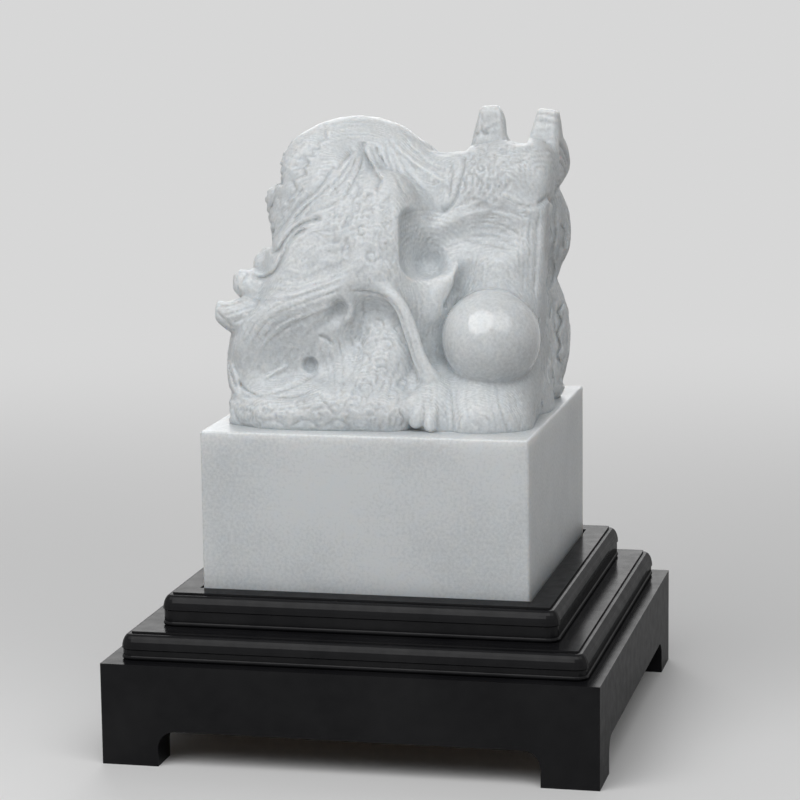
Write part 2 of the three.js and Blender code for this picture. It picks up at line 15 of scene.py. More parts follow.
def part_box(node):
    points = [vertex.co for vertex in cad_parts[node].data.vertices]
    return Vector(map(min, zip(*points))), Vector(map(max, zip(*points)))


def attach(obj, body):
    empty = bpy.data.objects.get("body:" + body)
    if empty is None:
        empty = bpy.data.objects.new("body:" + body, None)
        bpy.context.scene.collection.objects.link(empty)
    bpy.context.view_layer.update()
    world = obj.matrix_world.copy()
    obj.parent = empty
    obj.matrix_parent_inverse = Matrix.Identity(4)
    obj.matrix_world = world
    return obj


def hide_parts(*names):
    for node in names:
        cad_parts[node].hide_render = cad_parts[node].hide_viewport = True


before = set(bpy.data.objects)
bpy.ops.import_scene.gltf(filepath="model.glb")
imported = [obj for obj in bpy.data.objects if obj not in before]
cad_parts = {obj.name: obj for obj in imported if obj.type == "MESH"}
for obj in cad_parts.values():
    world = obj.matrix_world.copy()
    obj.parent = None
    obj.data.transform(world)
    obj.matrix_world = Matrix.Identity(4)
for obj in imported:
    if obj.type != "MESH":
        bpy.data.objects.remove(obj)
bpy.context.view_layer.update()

MM = 0.001

# The stone's block, from the frame
stone_low, stone_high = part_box("seal_stone")
BLOCK_HALF = stone_high.x / MM
BLOCK_BOTTOM = stone_low.z / MM
BLOCK_HEIGHT = 30.0
BLOCK_TOP = BLOCK_BOTTOM + BLOCK_HEIGHT
BLOCK_BEVEL = 0.4
PRINT_BORDER = 2.4
PRINT_LINE = 1.6
PRINT_GAP = 2.4
PRINT_DEPTH = 0.8

# The photograph's camera: a fitted pinhole, in millimetres and degrees, over a frame of 800 x 800
PHOTO_WIDTH = 800
PHOTO_FOCUS = 2842.0
CAMERA_PLACE = (117.8, -512.2, 148.9)
CAMERA_AZIMUTH = 12.937
CAMERA_DOWN = 9.631
CAMERA_ROLL = -0.708

# The carving is drawn with its origin on the middle of the block's top: x right, y back, h up, in millimetres
CARVING_REACH = 29.7
CARVING_TOP = 59.6
CARVING_FOOT = -1.4
GRID_REACH = 30.6
CELL = 0.3
SOFT_JOIN = 3.0
CRISP_JOIN = 0.9
MASS_BLUR = 0.5
MASS_SIDE_SOFTNESS = 2.0
FORM_SIDE_SOFTNESS = 0.6
ADD_ROOM = 3
CUT_ROOM = 2
BLUR_LIMIT = 6.0
FAR = 50.0
PIXEL = 0.188
PHOTO_START = 470.0
SIDE_DISTANCE = 80.0

# How a ray looks for the stone
LOOK_DEPTH = 160
LOOK_STEPS = 90
LOOK_SHARE = 0.9
LOOK_TOUCH = 0.04
LOOK_LEAST = 0.04
LOOK_MOST = 4
LOOK_OUTSIDE = 1.5
MISSED = 1e6

# How a relief is put on the stone
EMBOSS_DEPTH = 1.6
EMBOSS_PROBE = 0.5
SIGHT_PITCH = 0.6
HIDDEN_BEHIND = (1.8, 2.8)
FACING = (0.12, 0.42)

# How the lines of a relief are cut
GROOVE_SHARPNESS = 1.4
RIB_SHARPNESS = 1.2
LEDGE_SHARPNESS = 1.5
LEDGE_EDGE = 0.22
COMB_POINTS = 12
COMB_ENDS = (0.14, 0.86)
FLOW_POINTS = 16
SCALE_SHOULDER = (0.88, 0.55)
CURL_POINTS = 14
CURL_EYE = 0.12
SCROLL_TURNS = 1.5
SCROLL_WIDTH = 0.55


class Camera:
    """The photograph's view of the carving: u and v are its pixels."""

    def __init__(self):
        a, e, r = (math.radians(x) for x in (CAMERA_AZIMUTH, CAMERA_DOWN, CAMERA_ROLL))
        self.forward = np.array([-math.sin(a) * math.cos(e), math.cos(a) * math.cos(e), -math.sin(e)])
        level = np.array([math.cos(a), math.sin(a), 0.0])
        over = np.cross(level, self.forward)
        self.right = math.cos(r) * level + math.sin(r) * over
        self.up = -math.sin(r) * level + math.cos(r) * over
        self.eye = np.array(CAMERA_PLACE) - [0, 0, BLOCK_TOP]
        self.middle = PHOTO_WIDTH / 2

    def rays(self, u, v):
        across = ((u - self.middle) / PHOTO_FOCUS)[..., None]
        down = ((v - self.middle) / PHOTO_FOCUS)[..., None]
        d = self.forward + across * self.right - down * self.up
        d = d / np.linalg.norm(d, axis=-1, keepdims=True)
        return np.broadcast_to(self.eye, d.shape), d, PHOTO_START

    def locate(self, p):
        d = p - self.eye
        z = d @ self.forward
        u = self.middle + PHOTO_FOCUS * (d @ self.right) / z
        v = self.middle - PHOTO_FOCUS * (d @ self.up) / z
        return u, v, np.linalg.norm(d, axis=-1)

    def toward(self, p):
        d = p - self.eye
        return d / np.linalg.norm(d, axis=-1, keepdims=True)


class Side:
    """A square-on view: u runs to its right and v up, in millimetres. 0 is the front, 90 the right side."""

    def __init__(self, angle, down=0.0):
        a, e = math.radians(angle), math.radians(down)
        self.forward = np.array([-math.sin(a) * math.cos(e), math.cos(a) * math.cos(e), -math.sin(e)])
        self.right = np.array([math.cos(a), math.sin(a), 0.0])
        self.up = np.cross(self.right, self.forward)
        self.eye = -SIDE_DISTANCE * self.forward

    def rays(self, u, v):
        origin = self.eye + u[..., None] * self.right + v[..., None] * self.up
        return origin, np.broadcast_to(self.forward, origin.shape), 0.0

    def locate(self, p):
        d = p - self.eye
        return d @ self.right, d @ self.up, d @ self.forward

    def toward(self, p):
        return self.forward


PHOTO = Camera()


def seen(u, v, y, radius):
    """A stroke's point, placed by its pixel in the photograph and its depth y."""
    across, down = (u - PHOTO.middle) / PHOTO_FOCUS, (v - PHOTO.middle) / PHOTO_FOCUS
    ray = PHOTO.forward + across * PHOTO.right - down * PHOTO.up
    x, _, h = PHOTO.eye + (y - PHOTO.eye[1]) / ray[1] * ray
    return (x, y, h, radius)


def in_view(strokes):
    """Strokes given by their pixels, as strokes in millimetres."""
    return [[seen(*point) for point in stroke] for stroke in strokes]


def smooth_least(a, b, softness):
    """The lesser of two distances, rounded off where they are close."""
    near = np.maximum(softness - np.abs(a - b), 0) / softness
    return np.minimum(a, b) - near * near * softness / 4


def smooth_step(value, low, high):
    """0 below low, 1 above high, and a smooth rise between them."""
    t = np.clip((value - low) / (high - low), 0, 1)
    return t * t * (3 - 2 * t)


def spline(points, per_span=4):
    """A smooth curve through given points, with whatever stands after their place."""
    p = np.asarray(points, float)
    if len(p) < 3:
        t = np.linspace(0, 1, per_span + 1)[:, None]
        return p[:1] * (1 - t) + p[-1:] * t
    ends = np.vstack([2 * p[0] - p[1], p, 2 * p[-1] - p[-2]])
    a, b, c, d = (ends[i:len(ends) - 3 + i, None] for i in range(4))
    t = (np.arange(per_span) / per_span)[None, :, None]
    bend, twist = 2 * a - 5 * b + 4 * c - d, 3 * b - a - 3 * c + d
    curve = 0.5 * (2 * b + (c - a) * t + bend * t ** 2 + twist * t ** 3)
    return np.vstack([curve.reshape(-1, p.shape[1]), p[-1:]])


def even(points, count):
    """A line's smooth curve as evenly spaced points."""
    line = spline(points, 6)
    run = np.concatenate([[0], np.cumsum(np.hypot(*np.diff(line, axis=0).T))])
    want = np.linspace(0, run[-1], count)
    return np.stack([np.interp(want, run, line[:, 0]), np.interp(want, run, line[:, 1])], -1)


def at_share(line, share):
    """The point at a share of the way along an evenly spaced line."""
    place = np.clip(share, 0, 1) * (len(line) - 1)
    low = int(min(place, len(line) - 2))
    return line[low] * (1 - (place - low)) + line[low + 1] * (place - low)


def spans(low, high, origin, step, count):
    """The parts of a grid's axes that a box covers, as slices."""
    start = np.clip(np.floor((low - origin) / step), 0, count - 1).astype(int)
    stop = np.clip(np.ceil((high - origin) / step) + 1, 1, count).astype(int)
    return tuple(slice(a, b) for a, b in zip(start, stop))


class Clay:
    """The stone as distances to its surface on a grid, negative inside."""

    def __init__(self, low, high, cell):
        self.cell = cell
        self.low = np.asarray(low, float)
        self.count = np.ceil((np.asarray(high, float) - self.low) / cell).astype(int) + 1
        self.top = self.low + (self.count - 1) * cell
        self.axes = [(self.low[a] + cell * np.arange(self.count[a])).astype(np.float32) for a in range(3)]
        self.field = np.full(self.count, FAR, np.float32)

    def window(self, low, high):
        """The part of the grid inside a box, as slices."""
        return spans(np.asarray(low), np.asarray(high), self.low, self.cell, self.count)

    def places(self, where):
        x, y, z = (self.axes[a][where[a]] for a in range(3))
        return x[:, None, None], y[None, :, None], z[None, None, :]

    def points(self, cells):
        """The places of chosen cells, as rows."""
        return np.stack([self.axes[a][cells[a]] for a in range(3)], -1).astype(np.float32)

    def stroke_distance(self, points, margin):
        """The window round a stroke of changing radius, and the distance to it there."""
        curve = spline(points)
        reach = curve[:, 3].max() + margin
        outer = self.window(curve[:, :3].min(0) - reach, curve[:, :3].max(0) + reach)
        distance = np.full([s.stop - s.start for s in outer], FAR, np.float32)
        for a, b in zip(curve[:-1], curve[1:]):
            near = max(a[3], b[3]) + margin
            inner = self.window(np.minimum(a, b)[:3] - near, np.maximum(a, b)[:3] + near)
            x, y, z = self.places(inner)
            step = (b - a)[:3]
            length = max(float(step @ step), 1e-9)
            px, py, pz = x - a[0], y - a[1], z - a[2]
            t = np.clip((px * step[0] + py * step[1] + pz * step[2]) / length, 0, 1)
            px, py, pz = px - step[0] * t, py - step[1] * t, pz - step[2] * t
            d = np.sqrt(px * px + py * py + pz * pz) - (a[3] + (b[3] - a[3]) * t)
            part = tuple(slice(i.start - o.start, i.stop - o.start) for i, o in zip(inner, outer))
            distance[part] = np.minimum(distance[part], d)
        return outer, distance

    def add(self, points, softness):
        where, distance = self.stroke_distance(points, ADD_ROOM + softness)
        self.field[where] = smooth_least(self.field[where], distance, softness)

    def cut(self, points, softness):
        where, distance = self.stroke_distance(points, CUT_ROOM + softness)
        self.field[where] = -smooth_least(-self.field[where], distance, softness)

    def blur(self, reach):
        """Softens the whole form: a mean over reach along each axis, twice."""
        n = max(int(round(reach / self.cell)), 1)
        np.minimum(self.field, BLUR_LIMIT, out=self.field)
        for axis in (0, 1, 2, 0, 1, 2):
            f = np.moveaxis(self.field, axis, 0)
            padded = np.concatenate([np.repeat(f[:1], n + 1, 0), f, np.repeat(f[-1:], n, 0)])
            total = np.cumsum(padded, 0, dtype=np.float64)
            f[:] = (total[2 * n + 1:] - total[:-(2 * n + 1)]) / (2 * n + 1)

    def sample(self, points):
        """Distances at any points, read between the grid's."""
        p = np.clip((np.asarray(points) - self.low) / self.cell, 0, self.count - 1.001)
        i = p.astype(np.int32)
        fx, fy, fz = (p - i).astype(np.float32).T
        flat = self.field.reshape(-1)
        sx, sy = self.count[1] * self.count[2], self.count[2]
        base = i[:, 0] * sx + i[:, 1] * sy + i[:, 2]
        c00 = flat[base] * (1 - fx) + flat[base + sx] * fx
        c10 = flat[base + sy] * (1 - fx) + flat[base + sx + sy] * fx
        c01 = flat[base + 1] * (1 - fx) + flat[base + sx + 1] * fx
        c11 = flat[base + sy + 1] * (1 - fx) + flat[base + sx + sy + 1] * fx
        return (c00 * (1 - fy) + c10 * fy) * (1 - fz) + (c01 * (1 - fy) + c11 * fy) * fz

    def slope(self, points, step):
        """The direction in which the distance grows."""
        p = np.asarray(points, np.float32)
        ways = np.eye(3, dtype=np.float32) * step
        return np.stack([self.sample(p + way) - self.sample(p - way) for way in ways], -1) / (2 * step)


class Relief:
    """Heights drawn on one view of the stone. Areas add up, cuts keep the deepest and ribs the highest."""

    def __init__(self, low, high, pitch, unit, seed=0):
        self.rng = np.random.default_rng(seed)
        self.low = np.asarray(low, float)
        self.pitch = pitch
        self.unit = unit
        self.count = np.ceil((np.asarray(high, float) - self.low) / pitch).astype(int) + 1
        self.form = np.zeros(self.count, np.float32)
        self.cuts = np.zeros(self.count, np.float32)
        self.ribs = np.zeros(self.count, np.float32)

    def window(self, points, reach):
        low, high = np.min(points, 0) - reach, np.max(points, 0) + reach
        where = spans(low, high, self.low, self.pitch, self.count)
        u, v = (self.low[a] + self.pitch * np.arange(where[a].start, where[a].stop) for a in range(2))
        return where, u[:, None], v[None, :]

    def to_line(self, points, reach):
        """Window, distance to a line, the side of it and the share of the way along it."""
        where, u, v = self.window(points, reach)
        best = np.full((len(u), v.shape[1]), 1e9, np.float32)
        side = np.zeros_like(best)
        share = np.zeros_like(best)
        lengths = np.hypot(*np.diff(points, axis=0).T)
        total = max(lengths.sum(), 1e-6)
        run = 0.0
        for a, b, length in zip(points[:-1], points[1:], lengths):
            du, dv = b - a
            pu, pv = u - a[0], v - a[1]
            t = np.clip((pu * du + pv * dv) / max(length ** 2, 1e-9), 0, 1)
            d = (pu - du * t) ** 2 + (pv - dv * t) ** 2
            nearer = d < best
            best = np.where(nearer, d, best)
            side = np.where(nearer, np.sign(pu * dv - pv * du), side)
            share = np.where(nearer, (run + length * t) / total, share)
            run += length
        return where, np.sqrt(best), side, share

    def beside(self, line, reach, taper):
        """Window, distance to a line, the side of it, and a share that falls off at the line's ends."""
        where, distance, side, share = self.to_line(line, reach)
        return where, distance, side, np.clip(np.minimum(share, 1 - share) / taper, 0, 1) ** 0.5

    def groove(self, points, width, depth, taper=0.15, smooth=True):
        """A cut along a line, thinning out towards its ends."""
        line = spline(points, 5) if smooth else np.asarray(points, float)
        reach = width / self.unit
        where, distance, _, ends = self.beside(line, reach, taper)
        profile = (1 - np.clip(distance / reach, 0, 1)) ** GROOVE_SHARPNESS
        self.cuts[where] = np.minimum(self.cuts[where], -depth * ends * profile)

    def rib(self, points, width, height, taper=0.15):
        """A raised line."""
        reach = width / self.unit
        where, distance, _, ends = self.beside(spline(points, 5), reach, taper)
        profile = np.cos(np.clip(distance / reach, 0, 1) * np.pi / 2) ** RIB_SHARPNESS
        self.ribs[where] = np.maximum(self.ribs[where], height * ends * profile)

    def ledge(self, points, width, drop, taper=0.1, per_span=5):
        """A step down on one side of a line, sloping back up over its width."""
        reach = width / self.unit
        edge = LEDGE_EDGE / self.unit
        where, distance, side, ends = self.beside(spline(points, per_span), reach, taper)
        signed = distance * side
        slope = (1 - np.clip(signed / reach, 0, 1)) ** LEDGE_SHARPNESS
        rise = np.clip(1 + signed / edge, 0, 1)
        self.cuts[where] = np.minimum(self.cuts[where], -drop * ends * slope * rise * (signed < reach))

    def area(self, outline, height, edge):
        """Raises, or sinks, what a closed outline holds, with a rounded edge."""
        closed = spline(list(outline) + [outline[0]], 5)
        where, distance, _, _ = self.to_line(closed, 1.0 / self.unit)
        _, u, v = self.window(closed, 1.0 / self.unit)
        t = np.clip(distance * self.unit / edge, 0, 1)
        self.form[where] += np.where(inside_line(closed, u, v), height * (1 - (1 - t) ** 2), 0)

    def comb(self, first, last, count, width, depth, wander=0.35, taper=0.2):
        """Hair: grooves fanned from one guide line to another."""
        rng = self.rng
        a, b = even(first, COMB_POINTS), even(last, COMB_POINTS)
        steps = COMB_POINTS - 1
        for k in range(count):
            share = (k + rng.uniform(-0.25, 0.25)) / max(count - 1, 1)
            start, stop = rng.uniform(0, COMB_ENDS[0]), rng.uniform(COMB_ENDS[1], 1)
            line = (a * (1 - share) + b * share)[int(start * steps):int(math.ceil(stop * steps)) + 1]
            line = line + rng.uniform(-wander, wander, line.shape) / self.unit * 0.3
            self.groove(line, width * rng.uniform(0.8, 1.2), depth * rng.uniform(0.55, 1.1), taper)

    def locks(self, first, last, count, width, depth):
        """Hair in locks: a few deep grooves with finer ones between."""
        self.comb(first, last, count, width, depth)
        self.comb(first, last, count * 3 + 1, width * 0.55, depth * 0.5, wander=0.5)

    def flicks(self, outline, flow, count, length, width, depth):
        """Short chisel strokes scattered inside an outline, each along the nearest of the flow lines."""
        rng = self.rng
        closed = spline(list(outline) + [outline[0]], 5)
        guides = [even(line, FLOW_POINTS) for line in flow]
        points = np.vstack([guide[:-1] for guide in guides])
        ways = np.vstack([np.diff(guide, axis=0) for guide in guides])
        ways /= np.hypot(*ways.T)[:, None]
        low, high = closed.min(0), closed.max(0)
        made = 0
        while made < count:
            u, v = rng.uniform(low, high)
            if not inside_line(closed, np.array(u), np.array(v)):
                continue
            made += 1
            weight = 1 / ((points[:, 0] - u) ** 2 + (points[:, 1] - v) ** 2 + 1e-3) ** 1.5
            way = (ways * weight[:, None]).sum(0)
            way /= np.hypot(*way) + 1e-9
            across = np.array([-way[1], way[0]])
            half = 0.5 * length * rng.uniform(0.6, 1.3) / self.unit
            bend = rng.uniform(-0.35, 0.35) * half
            middle = np.array([u, v])
            line = [middle - way * half, middle + across * bend, middle + way * half]
            self.groove(line, width * rng.uniform(0.7, 1.3), depth * rng.uniform(0.5, 1.1), 0.35)

    def scales(self, first, last, rows, columns, drop):
        """Staggered rows of round scales between two guide lines, their tips along the guides."""
        a, b = even(first, rows + 1), even(last, rows + 1)
        out, up = SCALE_SHOULDER

        def spot(across, along):
            return (1 - across) * at_share(a, along / rows) + across * at_share(b, along / rows)

        for row in range(rows):
            for column in range(columns + 1 - row % 2):
                middle = (column + 0.5 * (row % 2)) / columns
                half = 0.5 / columns
                arc = [spot(middle - half, row), spot(middle - out * half, row + up), spot(middle, row + 1),
                       spot(middle + out * half, row + up), spot(middle + half, row)]
                self.ledge(arc, 0.5 * np.hypot(*(arc[2] - arc[0])) * self.unit, drop, 0.02, 3)

    def curl(self, centre, radius, turns, start, width, depth, hand=1):
        """A spiral groove, from its eye outwards."""
        t = np.linspace(0, 1, int(CURL_POINTS * turns) + 4)
        angle = start + hand * t * turns * 2 * np.pi
        r = radius * (CURL_EYE + (1 - CURL_EYE) * t) / self.unit
        points = np.stack([centre[0] + r * np.cos(angle), centre[1] + r * np.sin(angle)], -1)
        self.groove(points, width, depth, 0.08, smooth=False)

    def curls(self, drawn, turns, width, depth):
        """Spirals, each given by its centre, its radius in the view's own units, its start and its hand."""
        for u, v, radius, start, hand in drawn:
            self.curl((u, v), radius * self.unit, turns, start, width, depth, hand)

    def scrolls(self, line, count, radius, depth):
        """Cloud scrolls strung along a line, turning by turns."""
        rng = self.rng
        for k, (u, v) in enumerate(even(line, count)):
            hand = 1 if k % 2 else -1
            place = (u, v + hand * 0.3 * radius)
            size = radius * rng.uniform(0.85, 1.15)
            self.curl(place, size, SCROLL_TURNS, rng.uniform(0, 6), SCROLL_WIDTH, 0.65 * depth, hand)

    def heights(self):
        return self.form + self.cuts + self.ribs

    def read(self, heights, u, v):
        pu = np.clip((u - self.low[0]) / self.pitch, 0, self.count[0] - 1.001)
        pv = np.clip((v - self.low[1]) / self.pitch, 0, self.count[1] - 1.001)
        i, j = pu.astype(int), pv.astype(int)
        fu, fv = pu - i, pv - j
        near = heights[i, j] * (1 - fu) + heights[i + 1, j] * fu
        return near * (1 - fv) + (heights[i, j + 1] * (1 - fu) + heights[i + 1, j + 1] * fu) * fv


def inside_line(closed, u, v):
    """Whether places lie inside a closed line."""
    inside = np.zeros(np.broadcast(u, v).shape, bool)
    for a, b in zip(closed[:-1], closed[1:]):
        if a[1] != b[1]:
            crosses = (a[1] > v) != (b[1] > v)
            inside ^= crosses & (u < a[0] + (b[0] - a[0]) * (v - a[1]) / (b[1] - a[1]))
    return inside


def first_hits(clay, view, relief, every):
    """How far along its ray each point of a coarse grid over the relief meets the stone."""
    u, v = (relief.low[a] + relief.pitch * every * np.arange(relief.count[a] // every + 2) for a in range(2))
    origin, direction, start = view.rays(*np.meshgrid(u, v, indexing="ij"))
    shape = origin.shape[:2]
    origin = origin.reshape(-1, 3).astype(np.float32)
    direction = direction.reshape(-1, 3).astype(np.float32)
    reached = np.full(len(origin), start, np.float32)
    going = np.arange(len(origin))
    for _ in range(LOOK_STEPS):
        p = origin[going] + direction[going] * reached[going, None]
        outside = np.any((p < clay.low) | (p > clay.top), 1)
        d = np.where(outside, LOOK_OUTSIDE, clay.sample(p))
        reached[going] += np.clip(d * LOOK_SHARE, LOOK_LEAST, LOOK_MOST)
        going = going[((d > LOOK_TOUCH) | outside) & (reached[going] < start + LOOK_DEPTH)]
        if not len(going):
            break
    reached[reached >= start + LOOK_DEPTH] = MISSED
    return u, v, reached.reshape(shape)


def emboss(clay, drawn):
    """Puts each view's relief on the stone that faces it. The first view that sees a place has it."""
    near = np.nonzero(np.abs(clay.field) < EMBOSS_DEPTH)
    p = clay.points(near)
    n = clay.slope(p, EMBOSS_PROBE)
    n /= np.linalg.norm(n, axis=1, keepdims=True) + 1e-9
    total = np.zeros(len(p), np.float32)
    left = np.ones(len(p), np.float32)
    for view, relief in drawn:
        u, v, depth = view.locate(p)
        every = max(int(round(SIGHT_PITCH / relief.pitch / relief.unit)), 1)
        gu, gv, hits = first_hits(clay, view, relief, every)
        iu = np.clip(np.rint((u - gu[0]) / (gu[1] - gu[0])).astype(int), 0, len(gu) - 1)
        iv = np.clip(np.rint((v - gv[0]) / (gv[1] - gv[0])).astype(int), 0, len(gv) - 1)
        visible = 1 - smooth_step(depth - hits[iu, iv], *HIDDEN_BEHIND)
        facing = -np.sum(n * view.toward(p), -1)
        weight = left * visible * smooth_step(facing, *FACING)
        total += weight * relief.read(relief.heights(), u, v)
        left -= weight
    clay.field[near] -= total


def skin(clay):
    """The surface as quads: one point in each cell that the surface crosses (surface nets)."""
    f = clay.field
    solid = f < 0
    corners = [(a, b, c) for a in (0, 1) for b in (0, 1) for c in (0, 1)]

    def shifted(grid, a, b, c):
        n = grid.shape
        return grid[a:n[0] - 1 + a, b:n[1] - 1 + b, c:n[2] - 1 + c]

    inside = sum(shifted(solid, *c).astype(np.int8) for c in corners)
    cells = np.nonzero((inside > 0) & (inside < 8))
    number = np.full(inside.shape, -1, np.int32)
    number[cells] = np.arange(len(cells[0]))
    total = np.zeros((len(cells[0]), 3))
    crossings = np.zeros(len(cells[0]))
    for a in corners:
        for axis in range(3):
            if a[axis]:
                continue
            b = tuple(1 if k == axis else a[k] for k in range(3))
            fa = f[cells[0] + a[0], cells[1] + a[1], cells[2] + a[2]]
            fb = f[cells[0] + b[0], cells[1] + b[1], cells[2] + b[2]]
            crossed = (fa < 0) != (fb < 0)
            share = np.where(crossed, fa / np.where(crossed, fa - fb, 1), 0)
            place = np.tile(np.array(a, float), (len(share), 1))
            place[:, axis] += share
            total += place * crossed[:, None]
            crossings += crossed
    points = np.stack(cells, -1) + total / crossings[:, None]
    points = clay.low + clay.cell * points
    quads = []
    for axis in range(3):
        one, two = (axis + 1) % 3, (axis + 2) % 3
        low = np.moveaxis(solid, axis, 0)
        changes = low[:-1] != low[1:]
        at = np.nonzero(np.moveaxis(changes, 0, axis))
        inner = (at[one] > 0) & (at[two] > 0) & (at[one] < f.shape[one] - 1) & (at[two] < f.shape[two] - 1)
        at = np.stack(at, 0)[:, inner]
        ring = []
        for back_one, back_two in ((0, 0), (1, 0), (1, 1), (0, 1)):
            cell = at.copy()
            cell[one] -= back_one
            cell[two] -= back_two
            ring.append(number[tuple(cell)])
        quad = np.stack(ring, -1)
        outward = solid[tuple(at)]
        quads.append(np.where(outward[:, None], quad, quad[:, ::-1]))
    return points, np.vstack(quads)


# Big masses of the dragon, run together softly. Strokes in view are pixels u and v, depth y and radius, and
# the others are x, y, h and radius.
MASSES = in_view([
    [(276, 400, 0, 9), (380, 410, 0, 12), (460, 410, 0, 12), (505, 405, 2, 9.5)],
    [(298, 345, 0, 10), (380, 345, 2, 11), (470, 345, 2, 11), (505, 345, 2, 8.5)],
    [(316, 270, 6, 9), (380, 255, 10, 9), (450, 250, 12, 9), (505, 240, 8, 8)],
    # the arch of the back, with its dome
    [(292, 300, -6, 8), (304, 250, -5, 8), (316, 205, -3, 8.2), (322, 170, 0, 8.6),
     (354, 158, 3, 8.2), (394, 167, 3, 7.6), (424, 187, 2, 6.8), (470, 193, 2, 6.6)],
    [(320, 215, 8, 7), (320, 174, 8, 7.6), (352, 160, 6, 8), (390, 167, 6, 7.6)],
    # hair on the chest
    [(346, 190, -5, 7), (362, 220, -9, 6.6), (366, 250, -12, 6.2), (366, 275, -13, 5.6)],
    [(335, 230, -8, 8), (345, 275, -10, 8)],
    [(386, 204, -9, 6), (388, 234, -11, 6), (387, 264, -12.6, 5.4)],
    [(364, 276, -14, 4.4), (382, 282, -14.6, 4), (396, 296, -14.6, 3.4)],
    # shoulder and lower left
    [(314, 262, -10, 8), (300, 290, -12, 7)],
    [(338, 305, -14.5, 5), (300, 322, -14, 6.6), (270, 340, -14, 7), (264, 370, -14, 7), (270, 395, -16, 6)],
    [(300, 365, -12, 8), (330, 345, -12.5, 7)],
    # coil under the foreleg, and the ground along the front
    [(320, 400, -15, 7), (352, 394, -15, 7.5), (382, 378, -13.6, 7.8), (392, 345, -12, 7),
     (376, 318, -10.5, 6)],
    [(246, 412, -20, 3.6), (280, 414, -22, 4.6), (330, 414, -22, 4.6), (390, 414, -21, 5)],
]) + [
    # two coils at the back
    [(-20, 14, 4.5, 8), (-15, 16, 12, 9), (-3.5, 17, 18, 9.5), (8.5, 17, 20, 9.5), (17, 16, 12.5, 9),
     (16.5, 14, 3.5, 9)],
    [(-18, 15, 26, 5), (-8, 20, 31, 5.5), (4, 21, 33, 5.5), (14, 17, 36, 5.5)],
] + in_view([
    # head and throat
    [(468, 180, 2, 6), (500, 176, 0, 6.6), (524, 172, 1, 6), (528, 169, 8, 6), (534, 163, 14, 5.4)],
    [(476, 192, -1.2, 5.4), (504, 192, -1.4, 5.6), (530, 192, -1, 5.2)],
    [(478, 211, -3.4, 4), (504, 213, -3.6, 4), (522, 218, -3.4, 4)],
    [(475, 222, 0, 5), (500, 240, -1, 6), (500, 280, -4, 6.6), (500, 320, -6, 7)],
    [(513, 215, -1, 5.8), (513, 250, -4, 5.8), (512, 300, -6, 6), (509, 350, -7, 6.5), (506, 400, -10, 6.6)],
    [(524, 215, -2, 4.6), (522, 250, -4, 4.8), (518, 300, -6, 5)],
    [(475, 396, -14, 6), (478, 420, -19, 6)],
    [(500, 396, -13, 6), (502, 422, -17, 6)],
    # stone behind the hollow
    [(412, 222, -4, 6), (432, 246, -4, 6.5), (462, 236, -4.5, 6)],
    # cord of hair that sweeps to the lower left
    [(344, 286, -15.8, 3), (306, 300, -17.8, 2.6), (278, 310, -18.8, 2.5), (258, 325, -19.2, 2.3),
     (246, 345, -18.6, 1.8)],
    # the slip of body between foreleg and pearl
    [(400, 298, -9.5, 5), (418, 302, -10, 5.2), (430, 295, -10, 4.4), (438, 283, -10, 3.3)],
    [(461, 272, -4.6, 4.5), (466, 262, -4.6, 4.5)],
    [(424, 322, -9, 5), (428, 370, -10, 5), (432, 400, -15, 6)],
]) + [
    # mane on the right side, in two rolls
    [(23.6, 18.5, 37.5, 5.6), (23, 18.5, 31.5, 7.4), (23, 18, 26.5, 5.8)],
    [(21, 5, 37, 5.6), (20.4, 5, 31, 7.2), (21, 5, 25, 5.6)],
    [(23.2, 18.5, 19.5, 5.8), (22.8, 18.5, 13, 7.6), (22, 16, 5, 7.6)],
    [(21, 5, 19, 5.8), (20.4, 4, 13, 7.4), (20.4, 2, 5, 7.4)],
    [(20.6, -6, 30, 5), (20.4, -7, 20, 6), (20.4, -8, 8, 7)],
    [(26, 13, 47.5, 3.8), (26.6, 18.5, 45, 4), (26, 18.5, 41.5, 3.4)],
]

